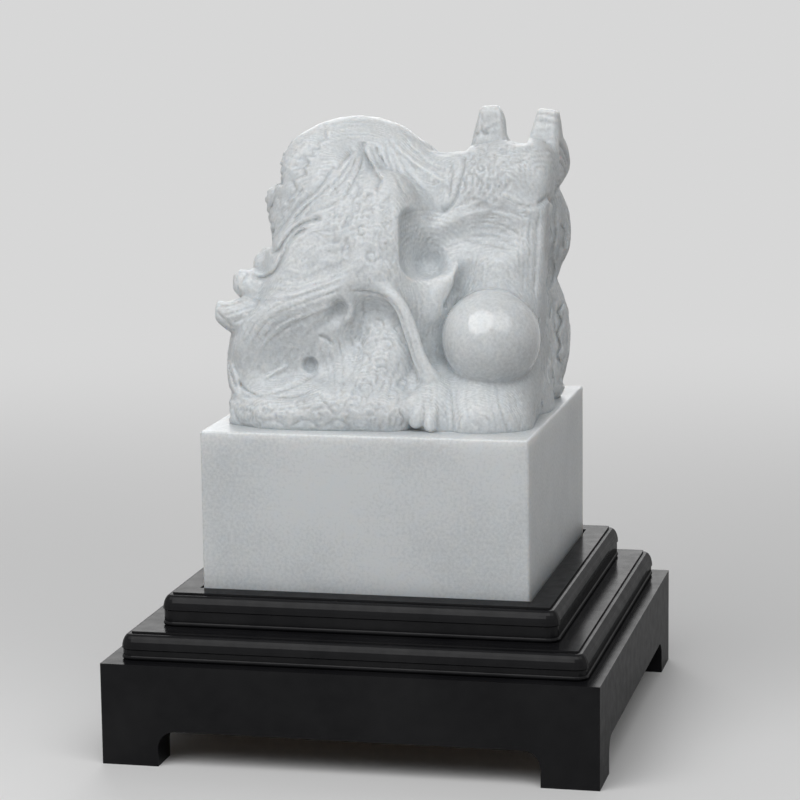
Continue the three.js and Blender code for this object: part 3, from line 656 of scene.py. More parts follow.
# Forms with crisp joins
PEARL = seen(491.5, 338.5, -13.8, 9)
FORMS = [[PEARL, PEARL]] + in_view([
    # foreleg, paw and claws
    [(338, 284, -15, 2.4), (362, 283, -17, 1.6), (386, 291, -18.2, 1.3), (401, 307, -18.7, 1.2),
     (411, 332, -18.8, 1.3), (420, 358, -19, 1.4), (430, 378, -18.6, 2.0)],
    [(434, 386, -16, 3.6), (436, 405, -18.5, 4.4), (440, 420, -19, 5)],
    [(430, 396, -20, 1.8), (412, 404, -22.5, 1.4), (405, 414, -23.5, 1.2)],
    [(430, 400, -21, 1.6), (418, 412, -23.6, 1.3), (416, 422, -24.2, 1.2)],
    [(434, 404, -21.5, 1.4), (430, 416, -24, 1.2), (430, 426, -24.6, 1.1)],
    # front ridge of the right side
    [(538, 205, -3.4, 2), (536, 240, -5.8, 2), (531, 290, -8, 2), (527, 340, -9, 2.2), (522, 395, -11, 2.8)],
    # leaves of the left edge
    [(298, 250, -4, 5), (286, 222, -2, 3.6), (277, 200, -2, 3.2)],
    [(300, 280, -9, 5.5), (278, 270, -9, 3.6), (265, 263, -10, 2.3)],
    [(285, 300, -11, 5.5), (260, 290, -12, 3.9), (246, 283, -13, 3.0)],
    [(265, 325, -15, 5), (240, 316, -17, 3.6), (225, 312, -18, 2.9)],
    # the slip's right edge
    [(451, 267, -11.5, 1.4), (446, 280, -12, 1.9), (438, 297, -12.3, 2.1), (430, 314, -12.6, 2.1)],
    # the chest's edge beside the hollow
    [(393, 206, -11, 2.6), (394, 235, -13.4, 2.6), (392, 266, -15, 2.4)],
    # brow over the hollow, from the neck's foot to the ridge
    [(446, 205, -3.5, 2.6), (468, 198, -4.3, 2.8), (492, 198, -4.6, 3), (514, 204, -4.8, 2.8),
     (530, 213, -5, 2.6)],
    # hook over the elbow pit
    [(345, 293, -18.2, 1.1), (348, 303, -18.5, 1), (346, 315, -18.4, 1)],
    # small coils at the foot
    [(300, 398, -20, 4), (320, 406, -22, 4), (345, 408, -22, 4.4)],
])

# Square tapering horns: foot and tip, each x, y, h and half width
HORNS = [
    [(16.4, 7, 38, 5.6), (16.9, 7, 56.2, 2.2)],
    [(25.2, 10, 42, 4.5), (26.5, 10.5, 55.4, 2.3)],
]
HORN_CORNER = 0.3
HORN_ROOM = 8
HORN_JOIN = 0.8

# Hollows: strokes that are cut away, and the softness of each one's edge
HOLLOWS = in_view([
    # bowl beside the chest
    *([(423, 222, y, 4.4), (423, 258, y, 4.3)] for y in (-22, -18.5, -16, -14.5)),
    [(438, 236, -14.5, 5), (437, 251, -14.5, 4.8)],
    [(430, 238, -14.2, 4.6), (429, 261, -11.2, 3.2)],
    # under the head
    [(452, 236, -12.5, 4), (478, 232, -13, 4.4), (503, 234, -13, 4), (524, 242, -13.5, 2.4)],
    # between the slip of body and the throat
    [(467, 256, -12, 0.9), (462, 274, -11.5, 1.2), (455, 289, -11.5, 1.2), (448, 304, -12.5, 1)],
    # slot beside the foreleg
    [(427, 342, -16.6, 1.8), (433, 364, -17.2, 1.5)],
    # elbow pit, and the round hole beside the dish
    [(339, 302, -22, 1.4), (338, 312, -19.9, 1.9), (327, 323, -20.5, 1.4), (313, 329, -21.4, 1)],
    [(309, 364, -25, 1.8), (310, 365, -19.9, 1.5)],
    # dish
    [(272, 364, -30.5, 9.2), (284, 366, -30, 8.6)],
]) + [
    # between the mane's two rolls, and under the head's right side
    [(31, 26, 23.6, 3.4), (31, 8, 23.6, 3.2), (30.5, -4, 24, 1.6)],
    [(31.5, 26, 40.5, 3), (31.5, 6, 39.5, 2.4)],
]
HOLLOW_EDGES = [0.3, 0.3, 0.3, 0.3, 0.8, 0.9, 1.8, 0.7, 1.2, 0.8, 0.5, 1.0, 1.6, 1.2]

# The carving's outline in the photograph, clockwise from the block's left corner, in pixels
OUTLINE = [
    (190, 450), (205, 431), (230, 416), (226, 401), (228, 393), (222, 384), (223, 365), (226, 345),
    (228, 335), (213, 318), (213, 305), (217, 300), (226, 302), (240, 298), (233, 290), (233, 275),
    (240, 269), (250, 270), (252, 261), (255, 254), (261, 248), (272, 247), (272, 235), (266, 208),
    (265, 198), (268, 188), (275, 183), (281, 184), (280, 163), (283, 152), (290, 142), (300, 134),
    (320, 123), (340, 117), (360, 115), (380, 117), (400, 123), (410, 130), (421, 139), (440, 147),
    (450, 151), (467, 150), (471, 130), (476, 120), (478, 110), (483, 105), (498, 104), (503, 112),
    (506, 119), (507, 134), (510, 139), (518, 143), (527, 143), (533, 126), (538, 109), (542, 107),
    (560, 111), (567, 138), (573, 168), (559, 187), (571, 213), (573, 230), (573, 245), (567, 260),
    (557, 278), (570, 310), (572, 335), (571, 355), (563, 383), (590, 380), (610, 430), (610, 460),
]


def add_horns(clay):
    for foot, tip in HORNS:
        low = [foot[0] - HORN_ROOM, foot[1] - HORN_ROOM, foot[2] - 1]
        where = clay.window(low, [tip[0] + HORN_ROOM, tip[1] + HORN_ROOM, tip[2] + 2])
        x, y, z = clay.places(where)
        t = np.clip((z - foot[2]) / (tip[2] - foot[2]), 0, 1)
        half = foot[3] + (tip[3] - foot[3]) * t
        right = np.abs(x - (foot[0] + (tip[0] - foot[0]) * t)) - half
        back = np.abs(y - (foot[1] + (tip[1] - foot[1]) * t)) - half
        corner = (right + back + HORN_CORNER * half) / math.sqrt(2)
        ends = np.maximum(z - tip[2], foot[2] - z)
        horn = np.maximum(np.maximum(right, back), np.maximum(corner, ends))
        clay.field[where] = smooth_least(clay.field[where], horn, HORN_JOIN)


# The field over the photograph in which the outline's distance is kept, in pixels
OUTLINE_FIELD = ([190, 90], [615, 450])
OUTLINE_PITCH = 0.8
OUTLINE_ROOM = 10
OUTLINE_DEPTH = 2.5
OUTLINE_SOFTNESS = 0.8


def keep_to_outline(clay):
    """Takes off what would show outside the outline that the photograph has."""
    board = Relief(*OUTLINE_FIELD, OUTLINE_PITCH, PIXEL)
    line = np.array(OUTLINE + OUTLINE[:1], float)
    where, distance, _, _ = board.to_line(line, OUTLINE_ROOM)
    _, u, v = board.window(line, OUTLINE_ROOM)
    signed = np.full(board.count, 0, np.float32)
    signed[where] = distance * np.where(inside_line(line, u, v), -1, 1) * board.unit
    close = np.nonzero(clay.field < OUTLINE_DEPTH)
    u, v, _ = PHOTO.locate(clay.points(close))
    clay.field[close] = -smooth_least(-clay.field[close], -board.read(signed, u, v), OUTLINE_SOFTNESS)


def keep_to_block(clay, softness):
    """Takes off what stands over the block's sides."""
    x, y, _ = clay.places((slice(None),) * 3)
    over = np.maximum(np.abs(x), np.abs(y)) - CARVING_REACH + np.zeros_like(clay.field)
    clay.field = -smooth_least(-clay.field, -over, softness)


def shape_dragon(cell):
    clay = Clay([-GRID_REACH, -GRID_REACH, CARVING_FOOT], [GRID_REACH, GRID_REACH, CARVING_TOP], cell)
    for stroke in MASSES:
        clay.add(stroke, SOFT_JOIN)
    clay.blur(MASS_BLUR)
    keep_to_block(clay, MASS_SIDE_SOFTNESS)
    for stroke in FORMS:
        clay.add(stroke, CRISP_JOIN)
    add_horns(clay)
    for stroke, softness in zip(HOLLOWS, HOLLOW_EDGES, strict=True):
        clay.cut(stroke, softness)
    keep_to_outline(clay)
    keep_to_block(clay, FORM_SIDE_SOFTNESS)
    return clay


# Grooves and ribs are given by their line, width, depth and taper, ledges by their line, width and drop.
# Widths and depths are in millimetres.

# The square-on views' fields, in millimetres
SIDE_FIELD = ([-30, -2], [30, 60])
TOP_FIELD = ([-30, -30], [30, 30])
SIDE_PITCH = 0.2


def saw(line, tip, notch):
    """A line with teeth: every other point moved by tip and the rest by notch."""
    return [point + np.array(tip if k % 2 else notch) for k, point in enumerate(line)]


def draw_front():
    """What the photograph shows, in its pixels."""
    r = Relief([196, 92], [604, 446], 0.6, PIXEL, 7)
    g, rib, ledge, comb, area = r.groove, r.rib, r.ledge, r.comb, r.area
    locks, flicks, curls = r.locks, r.flicks, r.curls

    # dome: the ground left of its serrated fin lies lower, with short rays
    ledge([(272, 242), (279, 231), (277, 226), (284, 219), (283, 213), (291, 206), (289, 199), (297, 191),
           (295, 184), (293, 181), (298, 178), (306, 174), (304, 169), (309, 163), (306, 157), (314, 155),
           (312, 150), (320, 149), (319, 143), (327, 138), (326, 132), (330, 127)], 2.4, 0.55, 0.02, 3)
    for u0, v0, u1, v1 in ((321, 145, 300, 136), (315, 151, 294, 142), (310, 157, 289, 149),
                           (308, 163, 286, 156), (305, 169, 284, 164), (300, 175, 283, 171),
                           (296, 182, 284, 179)):
        g([(u0, v0), ((u0 + u1) / 2, (v0 + v1) / 2 - 1.5), (u1, v1)], 0.4, 0.26, 0.2)
    area([(296, 156), (306, 154), (306, 165), (298, 172), (291, 168)], -0.25, 0.8)
    # fine lines that follow the dome's crown
    for k in range(5):
        low, high = 3 * k, 4 * k
        g([(286 + low, 178 - k), (292 + low, 150 + low), (318 + k, 130 + high), (350, 122 + high),
           (384, 124 + high)], 0.3, 0.2, 0.3)

    # the long groove from the crown to the left edge, and lines beside it
    crown = [(274, 236), (281, 228), (288, 219), (296, 208), (304, 201), (313, 194), (322, 184), (327, 175),
             (333, 168), (338, 168), (342, 163), (348, 157), (356, 150)]
    ledge(crown, 2.0, 0.6, 0.06)
    g(crown[::-1], 0.45, 0.8, 0.1)
    g([(318, 195), (308, 205), (299, 214), (292, 223)], 0.5, 0.6)
    g([(304, 188), (296, 197), (290, 206)], 0.5, 0.5)
    g([(330, 184), (320, 194), (310, 203)], 0.45, 0.5)

    # leaf at the left edge
    g([(293, 198), (289, 208), (284, 219), (275, 232)], 0.4, 0.5, 0.1)
    g([(276, 194), (280, 201), (280, 211), (277, 222), (273, 231)], 0.4, 0.3)

    # double line round the shoulder
    g([(322, 218), (308, 222), (298, 227), (290, 234), (284, 242), (279, 250), (271, 253)], 0.75, 1.0, 0.1)
    g([(306, 228), (296, 234), (288, 242), (284, 252), (280, 263), (273, 273), (262, 278), (252, 275)], 0.75,
      1.0, 0.1)
    rib([(316, 221), (303, 226), (294, 233), (287, 243), (282, 256)], 0.6, 0.35)
    # shoulder arcs
    comb([(290, 268), (293, 250), (305, 237), (326, 230), (350, 232)],
         [(308, 282), (313, 264), (328, 254), (346, 254)], 11, 0.42, 0.3)
    comb([(262, 290), (288, 292), (320, 284), (345, 272)], [(282, 270), (305, 276), (330, 266), (352, 258)],
         11, 0.42, 0.32)
    comb([(236, 296), (262, 300), (296, 296), (330, 284)], [(240, 312), (262, 312), (292, 304), (330, 292)],
         7, 0.42, 0.35)

    # carved hair on the chest: flowing flicks, deeper cuts and small curls
    chest = [(356, 152), (372, 172), (382, 196), (396, 214), (399, 262), (392, 278), (366, 282), (350, 262),
             (340, 240), (318, 222), (304, 214), (324, 192), (342, 168)]
    flow = [[(362, 148), (352, 180), (330, 208), (300, 226)],
            [(372, 172), (368, 205), (356, 240), (350, 276)], [(392, 200), (388, 235), (378, 276)],
            [(340, 178), (320, 200), (300, 214)]]
    flicks(chest, flow, 130, 2.4, 0.36, 0.26)
    for line, width, depth in (
        ([(349, 213), (345, 224), (341, 231)], 0.5, 0.55), ([(348, 237), (343, 246), (341, 255)], 0.5, 0.5),
        ([(317, 200), (321, 208), (331, 205), (341, 197)], 0.5, 0.45),
        ([(341, 179), (336, 188), (337, 197)], 0.6, 0.45),
        ([(313, 204), (309, 212), (303, 217)], 0.5, 0.45), ([(374, 193), (367, 196), (362, 202)], 0.6, 0.5),
        ([(381, 177), (379, 184), (375, 191)], 0.9, 0.9), ([(362, 193), (355, 197), (350, 205)], 0.5, 0.4),
        ([(352, 205), (351, 216), (345, 230)], 0.45, 0.4),
    ):
        g(line, width, depth, 0.3)
    curls([(352, 187, 9, 1.0, 1), (332, 190, 6, 2.5, -1), (354, 207, 6, 0.5, 1), (368, 214, 7, 3.6, -1),
           (330, 214, 6, 0.2, 1), (360, 172, 6, 2.0, -1), (362, 232, 6, 4.0, 1), (372, 256, 8, 1.2, -1),
           (385, 246, 6, 3.0, 1), (388, 226, 5, 0.4, -1), (346, 246, 5, 2.2, 1)], 1.2, 0.4, 0.34)
    # leading lock of the hair, and strands behind it
    ledge([(376, 190), (380, 180), (374, 168), (368, 158), (364, 150), (366, 142)], 1.8, 0.8, 0.05)
    rib([(367, 146), (371, 158), (377, 170), (382, 178)], 0.6, 0.45)
    g([(362, 144), (363, 156), (360, 170), (352, 184), (342, 200)], 0.5, 0.6)
    g([(357, 156), (350, 172), (340, 184), (329, 195)], 0.45, 0.55)
    g([(351, 161), (341, 176), (331, 187)], 0.45, 0.5)
    g([(376, 146), (380, 156), (388, 168)], 0.45, 0.5)
    g([(388, 138), (394, 148), (402, 156)], 0.45, 0.45)
    # hatching on the edge of the chest
    for k in range(7):
        g([(379 + 0.5 * k, 206 + 3.8 * k), (386 + 0.4 * k, 201 + 3.8 * k), (392 + 0.3 * k, 195 + 3.8 * k)],
          0.32, 0.4, 0.25)

    # neck hair
    locks([(384, 138), (390, 164), (402, 190), (416, 208)], [(404, 126), (426, 145), (446, 155), (462, 157)],
          8, 0.55, 0.45)
    g([(397, 127), (412, 139), (430, 149), (448, 156)], 0.45, 0.4, 0.1)
    rib([(396, 146), (412, 160), (430, 172), (444, 182)], 0.6, 0.4)
    g([(446, 184), (448, 196), (446, 208)], 0.4, 0.3)
    comb([(448, 160), (449, 182), (446, 204)], [(459, 160), (460, 182), (456, 202)], 6, 0.4, 0.5)

    # head: brow locks on its left, curls, rings on the cheek
    ledge([(442, 214), (450, 208), (456, 198), (460, 184), (464, 170), (466, 156)], 1.8, 0.8, 0.05)
    face = [(464, 158), (478, 148), (508, 146), (512, 170), (508, 196), (486, 204), (462, 202)]
    flicks(face, [[(484, 150), (476, 176), (466, 202)], [(506, 150), (500, 176), (498, 200)]], 80, 1.7, 0.4,
           0.4)
    for u in range(8):
        x = 467 + 5.6 * u + r.rng.uniform(-1.5, 1.5)
        top = r.rng.uniform(172, 179)
        g([(x - 3, top), (x - 1, top + 9), (x - 4, top + r.rng.uniform(14, 20))], 0.45, 0.36, 0.15)
    places = ((472, 160), (482, 154), (493, 157), (503, 152), (470, 172), (481, 168), (492, 170), (503, 166))
    curls([(u, v, 4.6, u, 1 if u % 2 else -1) for u, v in places], 1.1, 0.4, 0.4)
    for k in range(4):
        q = 5 + 5 * k
        g([(541 - q, 172 + 0.8 * q), (541 - q, 172 - 0.5 * q), (541 - 0.6 * q, 172 - q),
           (541 + 0.4 * q, 172 - q), (541 + 0.9 * q, 172 - 0.6 * q), (541 + 0.9 * q, 172 + 0.6 * q),
           (541 + 0.4 * q, 172 + q)], 0.4, 0.24, 0.12)
    ledge([(562, 186), (553, 191), (544, 198), (536, 204)], 1.4, 0.7, 0.1)
    comb([(509, 146), (522, 150), (536, 146)], [(508, 163), (518, 162), (530, 156)], 5, 0.4, 0.45)
    comb([(500, 196), (520, 205), (540, 206)], [(494, 206), (515, 214), (538, 220)], 5, 0.4, 0.4)
    # horns
    g([(470, 142), (473, 136), (480, 133)], 0.6, 0.8, 0.2)
    g([(481, 128), (484, 133), (489, 133)], 0.6, 0.6, 0.3)
    g([(481, 112), (482, 122), (481, 131)], 0.35, 0.3)
    g([(482, 110), (490, 108), (499, 109)], 0.35, 0.3)
    g([(537, 121), (548, 122), (562, 126)], 0.35, 0.3)
    g([(538, 114), (549, 115), (561, 118)], 0.35, 0.25)
    g([(510, 138), (516, 143), (522, 142), (527, 144)], 0.5, 0.5)

    # hollow: the tool's arcs round its eye, and under the head
    turn = np.radians(np.linspace(186, 330, 11))
    for k in range(8):
        q = 20 + 5 * k
        g(np.stack([427 + q * np.cos(turn), 262 + 0.95 * q * np.sin(turn)], -1), 0.4, 0.2, 0.25)
    comb([(447, 212), (466, 203), (486, 200), (507, 205), (530, 219)],
         [(460, 240), (478, 236), (492, 236), (506, 240), (524, 252)], 9, 0.4, 0.22)
    g([(459, 240), (485, 244), (509, 249)], 0.4, 0.2)
    # cracks and folds of the mane that the front shows
    g([(553, 300), (549, 318), (551, 334), (548, 352), (552, 372), (553, 394)], 0.45, 0.9, 0.1)
    g([(563, 302), (558, 313), (561, 322), (557, 334), (560, 346), (557, 356), (562, 366), (559, 384)], 0.55,
      1.3, 0.1)
    g([(566, 352), (563, 362), (567, 372)], 0.45, 0.9, 0.15)
    g([(545, 300), (543, 330), (542, 360), (540, 392)], 0.4, 0.5, 0.15)
    g([(560, 222), (564, 232), (563, 246), (567, 256)], 0.5, 0.9, 0.1)
    g([(552, 214), (556, 232), (552, 252), (554, 272), (550, 290)], 0.45, 0.6, 0.15)
    # beard, down to the pearl
    comb([(474, 252), (470, 276), (468, 296)], [(514, 252), (516, 276), (514, 292)], 12, 0.36, 0.2)
    locks([(517, 214), (519, 250), (520, 292)], [(538, 208), (536, 250), (533, 300)], 4, 0.45, 0.45)
    # hair under the pearl
    locks([(459, 376), (456, 400), (460, 432)], [(520, 386), (528, 408), (538, 434)], 9, 0.5, 0.26)
    # foreleg
    g([(350, 291), (372, 292), (390, 300), (401, 315), (409, 338), (417, 362), (424, 376)], 0.42, 0.5)
    comb([(405, 318), (411, 340), (417, 366)], [(410, 316), (416, 340), (424, 366)], 3, 0.3, 0.3)
    # leg and claws
    locks([(426, 380), (424, 400), (424, 428)], [(450, 380), (452, 400), (454, 430)], 5, 0.45, 0.35)
    g([(398, 410), (403, 418), (400, 428)], 0.5, 0.5)

    # the coil under the foreleg: swirling curls and flicks
    coil = [(350, 300), (372, 304), (392, 318), (404, 344), (412, 372), (400, 400), (396, 428), (352, 428),
            (340, 400), (352, 372), (352, 340)]
    turns = [[(368, 304), (362, 340), (354, 376), (344, 404)],
             [(392, 322), (392, 356), (382, 392), (372, 424)], [(404, 350), (408, 380), (398, 410)]]
    flicks(coil, turns, 110, 2.2, 0.4, 0.3)
    curls([(364, 388, 10, 1.0, 1), (384, 372, 9, 2.5, -1), (392, 396, 9, 0.5, 1), (370, 412, 9, 3.6, -1),
           (352, 404, 8, 0.2, 1), (388, 346, 8, 4.2, -1), (364, 358, 8, 2.0, 1), (378, 326, 7, 5.0, -1),
           (392, 420, 7, 1.5, 1), (404, 384, 6, 3.2, -1)], 1.1, 0.45, 0.3)
    ledge([(358, 346), (357, 358), (352, 372), (344, 382), (340, 396)], 1.2, 0.3, 0.1)

    # strands that sweep down to the left
    g([(338, 282), (304, 295), (276, 306), (256, 322), (244, 344)], 0.5, 0.5, 0.15)
    g([(340, 290), (306, 302), (280, 313), (262, 328), (250, 350)], 0.45, 0.5, 0.15)
    rib([(336, 304), (308, 314), (286, 323), (268, 338), (257, 354)], 0.5, 0.28)
    comb([(247, 352), (254, 336), (272, 318), (302, 306), (334, 296)],
         [(258, 354), (270, 340), (290, 326), (318, 316), (332, 304)], 7, 0.45, 0.32)
    comb([(240, 344), (250, 322), (276, 304), (305, 294)], [(244, 348), (256, 328), (280, 310), (306, 300)],
         4, 0.42, 0.32)
    # dish, with its double line and ridge
    comb([(266, 348), (256, 360), (250, 374)], [(300, 346), (290, 366), (268, 384)], 8, 0.4, 0.28)
    rib([(264, 378), (275, 372), (287, 365)], 0.32, 0.4)
    ledge([(238, 396), (256, 397), (280, 392), (302, 384), (320, 372)], 1.0, 0.4, 0.1)
    g([(240, 392), (248, 396), (258, 397)], 0.4, 0.4)
    # strands between dish and coil
    locks([(316, 338), (324, 362), (330, 386), (334, 408)], [(346, 336), (352, 352), (350, 372), (342, 398)],
          4, 0.45, 0.22)
    g([(318, 335), (326, 338), (334, 345)], 0.6, 0.6)
    # leaf at the left foot
    area([(227, 352), (234, 366), (240, 382), (236, 394), (228, 384), (225, 366)], 0.6, 0.8)
    g([(228, 356), (231, 372), (237, 390)], 0.4, 0.6)
    g([(238, 380), (246, 390), (262, 398)], 0.5, 0.6)
    # cloud scrolls along the foot
    curls([(246, 414, 9, 2.2, 1), (266, 407, 8, 0.4, -1), (283, 415, 9, 3.4, 1), (302, 403, 8, 1.0, -1),
           (318, 416, 8, 4.0, 1), (336, 408, 7, 2.0, -1), (236, 400, 6, 1.0, 1), (258, 423, 5, 5.0, -1),
           (300, 422, 6, 0.0, 1)], 1.1, 0.42, 0.3)
    flicks([(232, 396), (345, 396), (352, 428), (232, 428)], [[(236, 404), (290, 418), (350, 408)]], 60, 2.2,
           0.4, 0.28)
    for line in ([(232, 404), (240, 422), (256, 427)], [(256, 424), (272, 420), (290, 428)],
                 [(290, 426), (306, 420), (322, 428)], [(324, 426), (338, 420), (352, 428)],
                 [(270, 396), (290, 398), (310, 392)], [(318, 394), (327, 405), (334, 416)]):
        g(line, 0.5, 0.45, 0.2)

    # rims of the stepped left edge
    g([(250, 273), (244, 279), (241, 287)], 0.4, 0.5)
    g([(236, 276), (238, 286), (241, 294)], 0.35, 0.4)
    g([(218, 305), (226, 306), (238, 303), (243, 300)], 0.5, 0.5)
    g([(217, 312), (224, 318), (232, 326)], 0.4, 0.5)
    comb([(222, 312), (236, 308), (252, 302)], [(230, 324), (240, 320), (256, 312)], 4, 0.4, 0.4)
    # mane on the shaded side
    locks([(550, 200), (548, 230), (546, 262)], [(572, 222), (571, 240), (562, 262)], 4, 0.6, 0.6)
    locks([(545, 290), (545, 330), (548, 380)], [(568, 310), (569, 340), (560, 376)], 4, 0.6, 0.7)
    return r


def draw_right():
    """The right side, in millimetres: the front on the left."""
    r = Relief(*SIDE_FIELD, SIDE_PITCH, 1.0, 11)
    # jaw, cheek rings and the hair behind the cheek
    r.ledge([(18, 40), (10, 38.6), (2, 38.4), (-5, 40)], 2.0, 0.9, 0.1)
    for k in range(4):
        q = 1 + 1.1 * k
        turn = np.radians(np.linspace(-60, 250, 12))
        r.groove(np.stack([1 + q * np.cos(turn), 44 + q * np.sin(turn)], -1), 0.5, 0.45, 0.1)
    r.locks([(6, 49), (12, 47.6), (21, 43)], [(6, 40.5), (13, 40.2), (20, 39.6)], 6, 0.8, 0.8)
    # mane in two rolls, each in locks that end in curls
    for top, foot in ((37, 25.5), (20, 2)):
        middle = (top + foot) / 2
        r.locks([(-4, top), (-6, middle), (-4, foot)], [(25, top - 1), (27, middle), (25, foot)], 9, 1.0, 1.1)
        for u in (1, 9, 17):
            r.ledge([(u + 2, top), (u + 3, middle), (u - 1, foot + 1)], 3.2, 1.3, 0.1)
        for u in (0, 8, 16, 23):
            r.curl((u, foot + 2.2), 1.9, 1.5, u, 0.6, 0.9, 1 if u % 2 else -1)
    # the throat's edge
    r.locks([(-12, 36), (-13, 24), (-14, 6)], [(-6.5, 36), (-8, 24), (-9, 6)], 4, 0.6, 0.6)
    r.scrolls([(-20, 2.6), (-4, 2.2), (10, 2.4), (24, 2.6)], 12, 1.7, 0.8)
    return r


def draw_back():
    """The back, in millimetres: the head's side on the left."""
    r = Relief(*SIDE_FIELD, SIDE_PITCH, 1.0, 13)
    # arch: a serrated fin along its crown, and scales below it
    crown = even([(-14, 45), (-5, 47.6), (5, 50), (14, 49), (20.5, 44), (23, 37), (23.4, 30)], 30)
    r.ledge(saw(crown, (0, -1.3), (0, 0.2)), 2.2, 1.0, 0.02, 2)
    for point in crown[1:-1]:
        inward = point + 0.16 * (np.array([6, 36]) - point)
        r.groove([point, 0.5 * (point + inward) + 0.2, inward], 0.4, 0.5, 0.2)
    r.scales([(-11, 36.6), (-2, 39), (6, 39.8), (12, 37), (14, 32), (14.4, 28)],
             [(-12, 43.2), (-4, 45.4), (5, 47.6), (13, 46.4), (18.4, 42), (20.6, 33)], 20, 4, 0.7)
    # upper coil: scales on its back and plates along its belly
    r.scales([(-19, 31.5), (-8, 31), (4, 29.6), (13, 26), (18, 22)],
             [(-17, 39.6), (-6, 38.6), (7, 36.4), (17, 31.6), (23, 26)], 24, 4, 0.7)
    for k in range(22):
        u = -19 + 1.75 * k
        low = 28.6 - 0.011 * (u + 12) ** 2
        r.groove([(u, low + 2.6), (u + 0.5, low + 1.0), (u + 0.2, low - 0.8)], 0.5, 0.55, 0.15)
    # lower coil
    r.scales([(-13, 10), (-8, 15.4), (0, 17), (8, 14.6), (13, 8.6), (14.6, 1)],
             [(-25, 17), (-15, 24.6), (0, 27), (13, 23), (22, 13.6), (25.6, 2)], 26, 6, 0.85)
    # hair of the mane, falling from the head
    r.locks([(-29, 38), (-29.5, 31), (-29, 25)], [(-18, 38), (-20, 31), (-22, 25)], 5, 0.8, 0.9)
    r.locks([(-29, 20), (-29.5, 12), (-29, 3)], [(-20, 14), (-20, 9), (-19, 3)], 4, 0.8, 0.9)
    for u, v in ((-26, 23), (-22, 25.6), (-27, 3.6), (-22, 3)):
        r.curl((u, v), 1.8, 1.5, u, 0.6, 0.8, 1 if u % 2 else -1)
    r.locks([(-26, 50), (-25, 45), (-26, 40)], [(-17, 47), (-17, 43), (-18, 39)], 4, 0.7, 0.7)
    # clouds inside and along the foot
    r.scrolls([(-8, 10), (0, 12.6), (8, 9)], 5, 2.0, 0.9)
    r.scrolls([(-10, 3), (0, 4.2), (10, 3)], 6, 2.0, 0.9)
    r.scrolls([(-27, 1.8), (-16, 1.6)], 4, 1.3, 0.7)
    r.scrolls([(16, 1.8), (28, 2.0)], 4, 1.5, 0.7)
    return r


def draw_left():
    """The left side, in millimetres: the back on the left."""
    r = Relief(*SIDE_FIELD, SIDE_PITCH, 1.0, 17)
    # dome: fin and scales that climb its side
    fin = even([(9, 29), (10, 35), (9, 41), (5, 47), (-1, 51)], 18)
    r.ledge(saw(fin, (-1.2, 0), (0.2, 0)), 2.2, 0.9, 0.02, 2)
    for point in fin[1:-1]:
        r.groove([point, point + [-1.3, 0.2], point + [-2.8, -0.4]], 0.42, 0.5, 0.2)
    r.scales([(-10, 49), (-13, 44), (-14, 38), (-13, 31)], [(1, 50), (4.4, 44), (5.4, 38), (4.6, 31)], 11, 6,
             0.8)
    # leaves: a vein in each
    for u, v, reach in ((4.5, 37, 3.4), (13, 25, 2.6), (17.5, 18.5, 2.6)):
        for bend in (-0.8, 0, 0.8):
            r.groove([(u - 1.6, v + reach), (u + bend, v), (u - 0.6, v - reach)], 0.42, 0.25, 0.2)
    # body below the dome, in locks down to the clouds
    r.locks([(-8, 29), (-7, 22), (-9, 14), (-9, 8)], [(10, 29), (12, 22), (11, 14), (12, 8)], 8, 0.8, 0.9)
    r.flicks([(-10, 28), (10, 28), (14, 10), (-10, 8)], [[(0, 28), (2, 18), (1, 8)]], 40, 2.4, 0.5, 0.5)
    # coils at the back, seen along their length
    r.scales([(-27, 21), (-25.4, 14), (-24.6, 8), (-24, 2)], [(-13, 23), (-10.4, 15), (-9.4, 8), (-9, 2)], 12,
             6, 0.8)
    r.scales([(-25, 37), (-26.4, 32), (-24, 26)], [(-14, 36), (-13, 30), (-14, 25)], 7, 5, 0.7)
    # shoulder to the foreleg's foot
    r.locks([(12, 20), (14, 14), (14, 8)], [(23, 18), (25, 13), (24, 7)], 5, 0.8, 0.8)
    r.scrolls([(-26, 2.2), (-10, 2.0)], 6, 1.6, 0.8)
    r.scrolls([(-8, 4.8), (4, 5.6), (14, 4.4), (26, 3.4)], 9, 2.0, 0.9)
    r.scrolls([(-8, 1.6), (8, 1.6), (27, 1.6)], 12, 1.3, 0.7)
    return r


